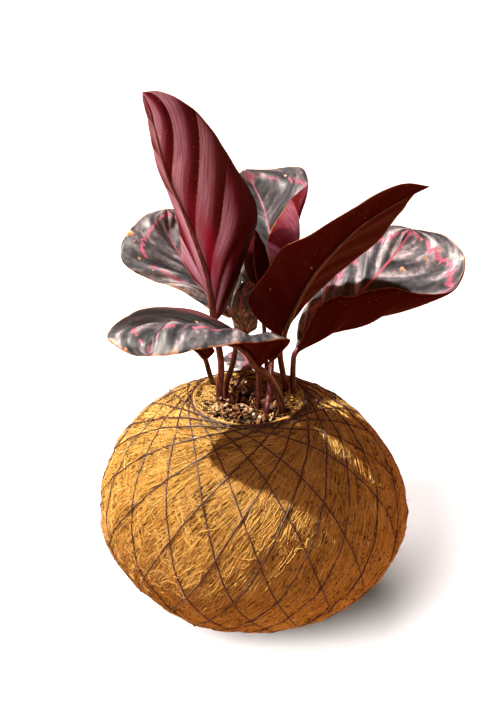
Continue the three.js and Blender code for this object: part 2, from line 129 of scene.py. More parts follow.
def placeCamera():
    down = math.radians(camera["elevation"])
    back = np.array([0, -math.cos(down), math.sin(down)]) * camera["distance"]
    place = (np.array(camera["aim"]) + back) * mm
    bpy.ops.object.camera_add(location=place, rotation=(math.pi / 2 - down, 0, 0))
    eye = bpy.context.object
    eye.name = "pictureCamera"
    eye.data.lens = camera["lens"]
    eye.data.sensor_width = camera["sensor"]
    bpy.context.scene.camera = eye


def addSun(name, azimuth, height, strength, width, colour):
    towards = directionTo(azimuth, height)
    bpy.ops.object.light_add(type="SUN", location=towards * 2)
    sun = bpy.context.object
    sun.name = name
    turn = math.atan2(towards[0], -towards[1])
    sun.rotation_euler = (math.pi / 2 - math.radians(height), 0, turn)
    sun.data.energy = strength
    sun.data.angle = math.radians(width)
    sun.data.color = linear(colour)[:3]
    return sun


def reachOnly(sun, objects):  # the light reaches only these objects
    group = bpy.data.collections.new(sun.name + "Only")
    sun.light_linking.receiver_collection = group
    for thing in objects:
        group.objects.link(thing)
    for member in group.collection_objects:
        member.light_linking.link_state = "INCLUDE"


def lightOnly(name, objects):  # a sun of its own for these objects
    reachOnly(addSun(name, *light[name]), objects)


def setStage():
    bpy.ops.mesh.primitive_circle_add(vertices=96, radius=stage["radius"], fill_type="NGON")
    floor = bpy.context.object
    floor.name = "paleFloor"
    # Matt paper shows no gloss, only light and shade
    paper = newMaterial("matt white paper sweep", {"Roughness": 0.9, "Base Color": stage["paper"]})[0]
    floor.data.materials.append(paper)
    bpy.ops.mesh.primitive_uv_sphere_add(segments=48, ring_count=24, radius=stage["radius"])
    dome = bpy.context.object
    dome.name = "paleBackdrop"
    glow = bpy.data.materials.new("white studio wall")
    glow.use_nodes = True
    glow.node_tree.nodes.clear()
    shine = addNode(glow.node_tree, "Emission", {"Color": linear(stage["wall"])})
    addNode(glow.node_tree, "OutputMaterial", {"Surface": shine})
    dome.data.materials.append(glow)
    for thing in (floor, dome):
        thing.visible_diffuse = False
        thing.visible_glossy = False
    dome.visible_shadow = False
    sun = addSun("keyLight", light["sunFrom"], light["sunHeight"], light["sunStrength"],
                 light["sunWidth"], light["sunColour"])
    for name in ("floorGlow", "floorTop"):
        lightOnly(name, [floor])
    world = bpy.data.worlds.new("softStudio")
    world.use_nodes = True
    tree = world.node_tree
    direction = addNode(tree, "TexCoord", {}, output="Generated")
    height = addNode(tree, "SeparateXYZ", {"Vector": direction}, output="Z")
    low, high = light["skyChange"]
    share = addNode(tree, "MapRange", {"Value": height, "From Min": low, "From Max": high})
    colour = addNode(tree, "MixRGB", {
        0: share, 1: linear(light["skyBelow"]), 2: linear(light["skyAbove"])})
    strength = addNode(tree, "MapRange", {
        "Value": share, "To Min": light["belowStrength"], "To Max": light["aboveStrength"]})
    background = tree.nodes["Background"]
    tree.links.new(colour, background.inputs["Color"])
    tree.links.new(strength, background.inputs["Strength"])
    bpy.context.scene.world = world
    bpy.context.scene.view_settings.view_transform = "Standard"
    return sun, floor


placeCamera()
keySun, floor = setStage()
print("camera, light and floor are set")

# Meshes made of many copies of one small shape


def needle(sides, cuts):  # a closed tube one unit long with pointed ends, cut across at even steps
    bpy.ops.mesh.primitive_cylinder_add(vertices=sides, radius=1, depth=1, end_fill_type="TRIFAN")
    tube = bpy.context.object
    bpy.ops.object.mode_set(mode="EDIT")
    bpy.ops.mesh.select_mode(type="EDGE")
    bpy.ops.object.mode_set(mode="OBJECT")
    for edge in tube.data.edges:
        low, high = (tube.data.vertices[i].co.z for i in edge.vertices)
        edge.select = abs(low - high) > 0.5
    for thing in (*tube.data.vertices, *tube.data.polygons):
        thing.select = False
    bpy.ops.object.mode_set(mode="EDIT")
    bpy.ops.mesh.subdivide(number_cuts=cuts)
    bpy.ops.mesh.select_all(action="SELECT")
    bpy.ops.mesh.quads_convert_to_tris()
    bpy.ops.object.mode_set(mode="OBJECT")
    return takeShape(tube)


def takeShape(thing):  # the corners and faces of a finished shape, which is then removed
    mesh = thing.data
    corners = np.empty(3 * len(mesh.vertices))
    mesh.vertices.foreach_get("co", corners)
    faces = np.array([face.vertices[:] for face in mesh.polygons])
    bpy.data.objects.remove(thing)
    return corners.reshape(-1, 3), faces


def newPiece(name, corners, faces, material, values=None):  # one mesh from corners in mm
    mesh = bpy.data.meshes.new(name)
    mesh.from_pydata((corners * mm).tolist(), [], faces.tolist())
    for label, value in (values or {}).items():
        mesh.attributes.new(label, "FLOAT", "POINT").data.foreach_set("value", value)
    mesh.materials.append(material)
    mesh.shade_smooth()
    piece = bpy.data.objects.new(name, mesh)
    bpy.context.scene.collection.objects.link(piece)
    return piece


def addPiece(piece, node):
    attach(piece, "root")
    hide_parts(node)


def sweep(shape, paths, radii, outward):  # the needle's copies laid along paths
    corners, faces = shape
    levels = paths.shape[1]
    tangents = unit(np.gradient(paths, axis=1))
    sideways = unit(np.cross(tangents, outward))
    upward = np.cross(sideways, tangents)
    middle = np.abs(corners[:, :2]).max(1) < 0.01
    height = corners[:, 2] + 0.5
    at = 1 + height * (levels - 3)
    at = np.where(middle, np.where(height < 0.5, 0, levels - 1), at).round().astype(int)
    thickness = radii[:, at, None]
    offset = corners[:, 0, None] * sideways[:, at] + corners[:, 1, None] * upward[:, at]
    placed = paths[:, at] + thickness * offset
    allFaces = faces[None] + (np.arange(len(paths)) * len(corners))[:, None, None]
    return placed.reshape(-1, 3), allFaces.reshape(-1, faces.shape[1])


# The ball

ball = {  # mm, as the wrap in the part
    "radius": 80,
    "middle": 57,
    "rise": 68.5,
    "drop": 58.5,
    "lean": -0.03,
    "mouth": 68.5,  # degrees of latitude where the coir ends
    "swells": ((0.007, 3, 25), (0.005, 5, -18)),
    "lumps": 0.3,  # mm, how far the hand-wound surface goes in and out
}
lumpWaves = chance.normal(0, 1, (10, 3)) * chance.uniform(7, 22, (10, 1))
lumpStarts = chance.uniform(0, 6.28, 10)


def lumps(around):  # slow ups and downs of the surface, for unit vectors from the middle
    return ball["lumps"] * np.sin(around @ lumpWaves.T + lumpStarts).sum(-1) / 1.6


def onBall(around, lift):  # unit vectors to points in mm on the ball, lifted off its surface
    high = around[..., 2] > 0
    reach = ball["radius"] + lift
    z = ball["middle"] + around[..., 2] * (np.where(high, ball["rise"], ball["drop"]) + lift)
    azimuth = np.arctan2(around[..., 1], around[..., 0])
    swell = 1 + sum(share * np.sin(n * azimuth + z / h) for share, n, h in ball["swells"])
    x = reach * around[..., 0] * swell + ball["lean"] * (z - ball["middle"])
    return np.stack([x, reach * around[..., 1] * swell, np.maximum(z, 0.15)], -1)


def around(latitude, azimuth):  # radians to a unit vector
    flat = np.cos(latitude)
    return np.stack([flat * np.cos(azimuth), flat * np.sin(azimuth), np.sin(latitude)], -1)


def heading(start, angle):  # unit tangent at a point, angle turned from north to east
    east = unit(np.stack([-start[..., 1], start[..., 0], 0 * start[..., 0]], -1))
    north = np.cross(start, east)
    return np.cos(angle)[..., None] * north + np.sin(angle)[..., None] * east


# Coir: coconut husk fibre, wound dry by hand

coir = {
    "bundles": 3400,
    "perBundle": 6,
    "length": (11, 30),  # mm
    "radius": (0.11, 0.21),
    "flecks": 2600,  # painted shade: short dark bits between the fibres that stand for small pits
    "bundleWidth": 3.2,
    "bundleLength": 12,
    "turnBack": 60,  # degrees of latitude where the winding turns
    "flattest": 0.98,  # sine of the flattest angle that it takes there
    "spread": 8,  # degrees that bundles lie off the winding
    "crossed": 0.13,  # share that lie the other way
    "tangled": 1500,
    "stray": 1900,
    "rim": 420,  # fibres rolled round the opening's edge
    "rimReach": 28.2,  # mm from the ball's axis
    "rimHeight": 119.9,
    "rimThickness": 1.3,
    "curls": 150,  # pale loose fibres inside it
    "curlReach": (21, 27.5),  # mm from the middle of the opening
    "curlStart": (118.5, 121.5),  # mm, the heights where they begin
    "curlHeights": (117.5, 123.5),  # and between which they stay
    "curlLimit": 28.5,
    "mouthOffset": -2,  # mm, the opening's middle on the x axis
}


def windingPlace(vectors):  # across the winding as a point on a circle, then the latitude
    latitude = np.radians(np.linspace(-89, 89, 713))
    turnBack = math.cos(math.radians(coir["turnBack"]))
    turned = np.minimum(1, turnBack / np.cos(latitude)) * coir["flattest"]
    drift = np.cumsum(np.tan(np.arcsin(turned)) / np.cos(latitude)) * (latitude[1] - latitude[0])
    here = np.arcsin(np.clip(vectors[:, 2], -1, 1))
    across = np.arctan2(vectors[:, 1], vectors[:, 0]) - np.interp(here, latitude, drift)
    return np.cos(across), np.sin(across), here


def windingAngle(sine):  # how far the winding lies off north, at this sine of the latitude
    turnBack = math.cos(math.radians(coir["turnBack"]))
    return np.arcsin(np.minimum(1, turnBack / np.sqrt(1 - sine ** 2)) * coir["flattest"])


def anywhereRound(sine):  # unit vectors at these sines of the latitude
    return around(np.arcsin(sine), chance.uniform(0, 2 * np.pi, len(sine)))


def coirFibre():  # rough golden fibre, each one of its own shade
    fibre, add = newMaterial("coconut husk fibre, wound dry", {
        "Roughness": 0.68, "Specular IOR Level": 0.22, "Sheen Weight": 0.1, "Sheen Roughness": 0.5})
    tone = add("Attribute", {}, output="Fac", attribute_name="tone")
    place = add("TexCoord", {}, output="Object")
    patch = add("TexNoise", {"Vector": place, "Scale": 38, "Detail": 2})
    fleck = add("TexNoise", {"Vector": place, "Scale": 700, "Detail": 1})
    mixed = tone
    for noise, share in ((patch, 0.3), (fleck, 0.25)):
        mixed = add("Math", {0: noise, 1: share, 2: mixed}, operation="MULTIPLY_ADD")
    mixed = add("Math", {0: mixed, 1: 0.275}, operation="SUBTRACT")
    colour = add("ValToRGB", {0: mixed}, stops=(
        (0.0, "#2a1408"), (0.16, "#7a4e20"), (0.4, "#cda04c"), (0.66, "#e2bc68"), (0.9, "#f2d694")))
    return dress(fibre, colour)


def coirMat():  # the packed fibre under the loose ones, with painted shade as small dark pits
    mat, add = newMaterial("packed coconut husk fibre", {"Roughness": 0.8, "Specular IOR Level": 0.2})
    wound = add("Attribute", {}, output="Vector", attribute_name="wound")
    fine = add("VectorMath", {0: wound, 1: (150, 150, 14)}, operation="MULTIPLY")
    fine = add("TexNoise", {"Vector": fine, "Scale": 1, "Detail": 3})
    broad = add("VectorMath", {0: wound, 1: (34, 34, 7)}, operation="MULTIPLY")
    broad = add("TexNoise", {"Vector": broad, "Scale": 1, "Detail": 2})
    mixed = add("Math", {0: broad, 1: 0.4, 2: fine}, operation="MULTIPLY_ADD")
    colour = add("ValToRGB", {0: mixed}, stops=(
        (0.52, "#341a08"), (0.62, "#7c5420"), (0.75, "#c09c4a"), (0.9, "#d8bc6c")))
    return dress(mat, colour, mixed, 0.9, 0.0008)


def coirBody(material):  # a sphere opened at the mouth, its edge rolled in
    bpy.ops.mesh.primitive_uv_sphere_add(segments=180, ring_count=110, radius=1)
    body = bpy.context.object
    body.name = "coirBody"
    body.data.materials.append(material)
    top = math.sin(math.radians(ball["mouth"]))
    bpy.ops.object.mode_set(mode="EDIT")
    bpy.ops.mesh.select_all(action="SELECT")
    bpy.ops.mesh.bisect(plane_co=(0, 0, top), plane_no=(0, 0, 1), clear_outer=True)
    bpy.ops.object.mode_set(mode="OBJECT")
    for vertex in body.data.vertices:
        vertex.select = vertex.co.z > top - 1e-4
    bpy.ops.object.mode_set(mode="EDIT")
    bpy.ops.mesh.select_mode(type="VERT")
    bpy.ops.mesh.extrude_region_move(TRANSFORM_OT_translate={"value": (0, 0, 0)})
    bpy.ops.transform.resize(value=(0.92, 0.92, 1))
    bpy.ops.mesh.extrude_region_move(TRANSFORM_OT_translate={"value": (0, 0, -0.08)})
    bpy.ops.object.mode_set(mode="OBJECT")
    corners = np.array([vertex.co[:] for vertex in body.data.vertices])
    reach = np.linalg.norm(corners, axis=1)
    placed = onBall(unit(corners), lumps(unit(corners)) - 0.35 + (reach - 1) * 60)
    body.data.vertices.foreach_set("co", (placed * mm).ravel())
    wound = np.stack(windingPlace(unit(corners)), -1)
    woundValues = body.data.attributes.new("wound", "FLOAT_VECTOR", "POINT")
    woundValues.data.foreach_set("vector", wound.ravel())
    body.data.shade_smooth()
    addPiece(body, "coir_wrap")


def woundFibres(material):  # most of the fibres, in bundles that follow the winding
    bundles, each = coir["bundles"], coir["perBundle"]
    total = bundles * each
    sine = chance.uniform(-0.97, 0.925, bundles)
    centre = anywhereRound(sine)
    angle = windingAngle(sine)
    angle *= np.where(chance.random(bundles) < coir["crossed"], -1, 1)
    low = np.clip(-sine - 0.25, 0, 1)
    angle += np.radians(chance.normal(0, 1, bundles) * (coir["spread"] + 45 * low))
    ahead = heading(centre, angle)
    aside = np.cross(centre, ahead)
    shift = chance.normal(0, 0.5, (2, bundles, each, 1)) / ball["radius"]
    start = centre[:, None] + (ahead[:, None] * shift[0] * coir["bundleLength"]
                               + aside[:, None] * shift[1] * coir["bundleWidth"])
    start = unit(start).reshape(-1, 3)
    ahead = np.repeat(ahead, each, 0) + 0.07 * chance.normal(0, 1, (total, 3))
    tone = np.repeat(chance.normal(0.5, 0.09, bundles), each) + chance.normal(0, 0.12, total)
    tone -= 0.16 * np.clip(-start[:, 2] - 0.2, 0, 1)
    order = chance.permutation(total)
    layFibres("coirWound", material, start[order], ahead[order], chance.uniform(*coir["length"], total),
              chance.uniform(0.1, 0.6, total), tone[order], rings=4, pieces=3)


def paintedPits(material):  # painted shade: dark bits that lie along the winding and stand for small pits
    total = coir["flecks"]
    sine = chance.uniform(-0.97, 0.92, total)
    start = anywhereRound(sine)
    angle = windingAngle(sine)
    ahead = heading(start, angle + np.radians(chance.normal(0, 12, total)))
    layFibres("coirFlecks", material, start, ahead, chance.uniform(1.2, 3.2, total), 0.1 + 0 * sine,
              chance.normal(-0.05, 0.06, total), rings=3, lift=(0.35, 0.6), thin=1.7)


def looseFibres(material):  # tangled ones, most of them low down, and stray ones that stand off
    total = coir["tangled"]
    sine = -0.95 + 1.7 * chance.random(total) ** 2.2
    start = anywhereRound(sine)
    ahead = heading(start, chance.uniform(0, 2 * np.pi, total))
    layFibres("coirTangled", material, start, ahead, chance.uniform(6, 20, total),
              chance.uniform(0.8, 3, total), chance.normal(0.42, 0.16, total), rings=9,
              lift=(0.3, 0.9), ends=-0.6 + 0 * sine)
    total = coir["stray"]
    sine = chance.uniform(-0.9, 0.85, total)
    start = anywhereRound(sine)
    ahead = heading(start, chance.normal(0.6, 0.9, total))
    layFibres("coirStray", material, start, ahead, chance.uniform(7, 20, total),
              chance.uniform(0.3, 1.6, total), chance.normal(0.5, 0.1, total), rings=8,
              lift=(0.1, 0.4), thin=0.55, ends=chance.exponential(1.6, total).clip(0.3, 6))


# Fibres laid on the ball from their middles, each of its own length, sway and tone. Lift is how far
# they lie off it, ends how much more their second halves do, and thin a factor of their thickness.
def layFibres(name, material, start, ahead, length, wiggle, tone, rings, pieces=1,
              lift=(0, 0.55), ends=None, thin=1):
    total = len(start)
    s = np.linspace(-0.5, 0.5, rings + 2)
    ahead = unit(ahead - (ahead * start).sum(-1, keepdims=True) * start)
    aside = np.cross(start, ahead)
    turn = (length / ball["radius"])[:, None] * s
    wave = np.sin(2 * np.pi * (s * chance.uniform(0.6, 2.0, (total, 1)) + chance.random((total, 1))))
    sway = (wiggle / ball["radius"])[:, None] * wave
    path = np.cos(turn)[..., None] * start[:, None] + np.sin(turn)[..., None] * ahead[:, None]
    path = unit(path + sway[..., None] * aside[:, None])
    top = math.sin(math.radians(ball["mouth"] + 0.5))
    flat = np.maximum(1e-6, np.hypot(path[..., 0], path[..., 1]))
    squeeze = np.where(path[..., 2] > top, np.sqrt(1 - top ** 2) / flat, 1)
    path[..., :2] *= squeeze[..., None]
    path[..., 2] = np.minimum(path[..., 2], top)
    rise = chance.uniform(*lift, (total, 1)) - 0.45 * np.abs(2 * s) ** 3
    if ends is not None:
        rise = rise + np.where(s > 0, ends[:, None], 0) * np.abs(2 * s) ** 2
    rise = rise + 0.15 * np.sin(2 * np.pi * (2 * s + chance.random((total, 1))))
    points = onBall(path, rise + lumps(path))
    radii = thin * chance.uniform(*coir["radius"], (total, 1)) * (1 - 0.5 * np.abs(2 * s) ** 4)
    shape = needle(3, rings - 2)
    share = total // pieces
    for piece in range(pieces):
        part = slice(piece * share, (piece + 1) * share)
        corners, faces = sweep(shape, points[part], radii[part], path[part])
        label = name + "ABC"[piece] if pieces > 1 else name
        made = newPiece(label, corners, faces, material, {"tone": np.repeat(tone[part], len(shape[0]))})
        addPiece(made, "coir_wrap")


def freeFibres(name, material, points, radius, tone):  # fibres along any paths
    total, rings = points.shape[0], points.shape[1] - 2
    s = np.linspace(-1, 1, rings + 2)
    radii = chance.uniform(*radius, (total, 1)) * (1 - 0.5 * np.abs(s) ** 4)
    shape = needle(3, rings - 2)
    corners, faces = sweep(shape, points, radii, np.array([0.1, 0.2, 1.0]))
    made = newPiece(name, corners, faces, material, {"tone": np.repeat(tone, len(shape[0]))})
    addPiece(made, "coir_wrap")


def rimFibres(material):  # the edge of the opening, rolled in and bound by the twine
    total = coir["rim"]
    s = np.linspace(0, 1, 14)
    turn = chance.uniform(0, 2 * np.pi, (total, 1)) + s * chance.uniform(0.5, 1.7, (total, 1))
    roll = chance.uniform(0, 2 * np.pi, (total, 1)) + s * chance.normal(0, 1.6, (total, 1))
    back = np.clip(np.sin(turn), 0, 1)
    thick = coir["rimThickness"] * np.sqrt(chance.random((total, 1))) * (1 + 0.8 * back)
    reach = coir["rimReach"] + thick * np.cos(roll) + 0.3 * np.sin(3 * turn)
    z = coir["rimHeight"] + thick * np.sin(roll) + 1.5 * back + 0.3 * np.sin(5 * turn)
    x = reach * np.cos(turn) + ball["lean"] * (z - ball["middle"])
    points = np.stack([x, reach * np.sin(turn), z], -1)
    freeFibres("coirRim", material, points, (0.16, 0.3), chance.normal(0.3, 0.2, total))


def curls(material):  # pale loose fibres that curl inside the opening
    total = coir["curls"]
    s = np.linspace(0, 1, 18)[None, :, None]
    side = np.where(chance.random(total) < 0.5, 0.25, math.pi - 0.3) + chance.normal(0, 0.35, total)
    reach = chance.uniform(*coir["curlReach"], total)
    middle = coir["mouthOffset"]
    x, y = reach * np.cos(side) + middle, reach * np.sin(side)
    start = np.stack([x, y, chance.uniform(*coir["curlStart"], total)], -1)
    points = start[:, None] + 0 * s
    for size, turns in ((3.2, 0.6), (1.6, 1.5), (0.7, 3.1)):
        way = chance.normal(0, size, (2, total, 1, 3)) * np.array([1, 1, 0.6])
        phase = 2 * np.pi * turns * s
        points = points + way[0] * np.sin(phase) + way[1] * np.cos(phase) * 0.6
    reachNow = np.hypot(points[..., 0] - middle, points[..., 1])
    held = np.minimum(1, coir["curlLimit"] / reachNow)
    points[..., 0] = (points[..., 0] - middle) * held + middle
    points[..., 1] *= held
    points[..., 2] = np.clip(points[..., 2], *coir["curlHeights"])
    freeFibres("coirCurls", material, points, (0.1, 0.19), chance.normal(0.6, 0.2, total))


coirBody(coirMat())
fibre = coirFibre()
woundFibres(fibre)
paintedPits(fibre)
looseFibres(fibre)
rimFibres(fibre)
curls(fibre)
print("coir is wound")

# Twine: one waxed thread wound round and round, over and under itself

twine = {
    "turns": 19,
    "advance": 22 / 19,  # turns round the axis for each turn over top and bottom
    "steepening": 0.52,  # how much steeper half the strands run round the ball's middle
    "radius": 0.42,  # mm
    "top": 68.5,  # degrees of latitude where it turns back
    "bottom": 63,
    "lift": 0.5,  # mm from the coir to the thread's middle
    "hump": 0.75,  # mm more where it crosses over
    "phase": 0.09,
    "cuts": 196,  # rings in each turn of the thread
    # Degrees that strands of each way lie off even spacing, by number
    "offLeaning": {14: -5.4, 15: -3.1, 16: 1.9, 17: 7.4, 18: 9.1, 0: 7.6, 1: 4.4},
    "offSteep": {7: -0.1, 8: -1.3, 9: -4.4, 10: -4.8, 11: -6},
}


def twineLine(turn, start, number):  # unit vectors along a loop, turn 0 at the top
    tilt = np.radians(twine["top"] + (twine["bottom"] - twine["top"]) * np.abs(turn) / np.pi)
    latitude = np.arcsin(np.sin(tilt) * np.cos(turn))
    turned = np.arctan2(np.sin(np.abs(turn)), np.cos(turn) * np.cos(tilt))
    steeper = np.where(turn > 0, twine["steepening"] / 2 * np.sin(2 * turned), 0)
    offset = np.where(turn > 0, twine["offSteep"].get(number, 0), twine["offLeaning"].get(number, 0))
    free = np.clip(3 * np.sin(np.abs(turn)) - 0.5, 0, 1)
    shift = np.radians(offset) * free * free * (3 - 2 * free)
    return around(latitude, start + np.sign(turn) * twine["advance"] * turned + steeper + shift)


def waxedThread():  # thin dark wax lets the twisted linen show as a fine speckle
    thread, add = newMaterial("waxed brown linen thread, twisted", {
        "Roughness": 0.48, "Specular IOR Level": 0.6, "Sheen Weight": 0.35, "Sheen Roughness": 0.35,
        "Sheen Tint": linear("#e8c4c8")})
    place = add("TexCoord", {}, output="Object")
    speck = add("TexNoise", {"Vector": place, "Scale": 900, "Detail": 2})
    colour = add("ValToRGB", {0: speck}, stops=((0.3, "#24100c"), (0.55, "#472820"), (0.75, "#7a544c")))
    return dress(thread, colour, speck, 0.5, 0.0002)


def addTwine():
    cuts = twine["cuts"]
    turn = np.linspace(-np.pi, np.pi, cuts + 4)
    starts = twine["phase"] + 2 * np.pi * np.arange(twine["turns"]) / twine["turns"]
    lines = np.stack([twineLine(turn, start, number) for number, start in enumerate(starts)])
    over = turn < 0
    under = lines[:, ~over].reshape(-1, 3)
    lift = np.full(lines.shape[:2], twine["lift"])
    for line, heights in zip(lines, lift):
        near = np.arccos(np.clip(line[over] @ under.T, -1, 1)).min(1) * ball["radius"]
        heights[over] += twine["hump"] * np.exp(-(near / 2.2) ** 2)
    lift += 0.08 * np.sin(turn * 17 + chance.uniform(0, 6, (len(lines), 1)))
    paths = onBall(lines, lift + lumps(lines))
    radii = twine["radius"] * (1 + 0.05 * np.sin(turn * 90 + np.arange(len(lines))[:, None]))
    corners, faces = sweep(needle(6, cuts), paths, radii, lines)
    addPiece(newPiece("twineNet", corners, faces, waxedThread()), "twine_net")


addTwine()
print("twine is wound")
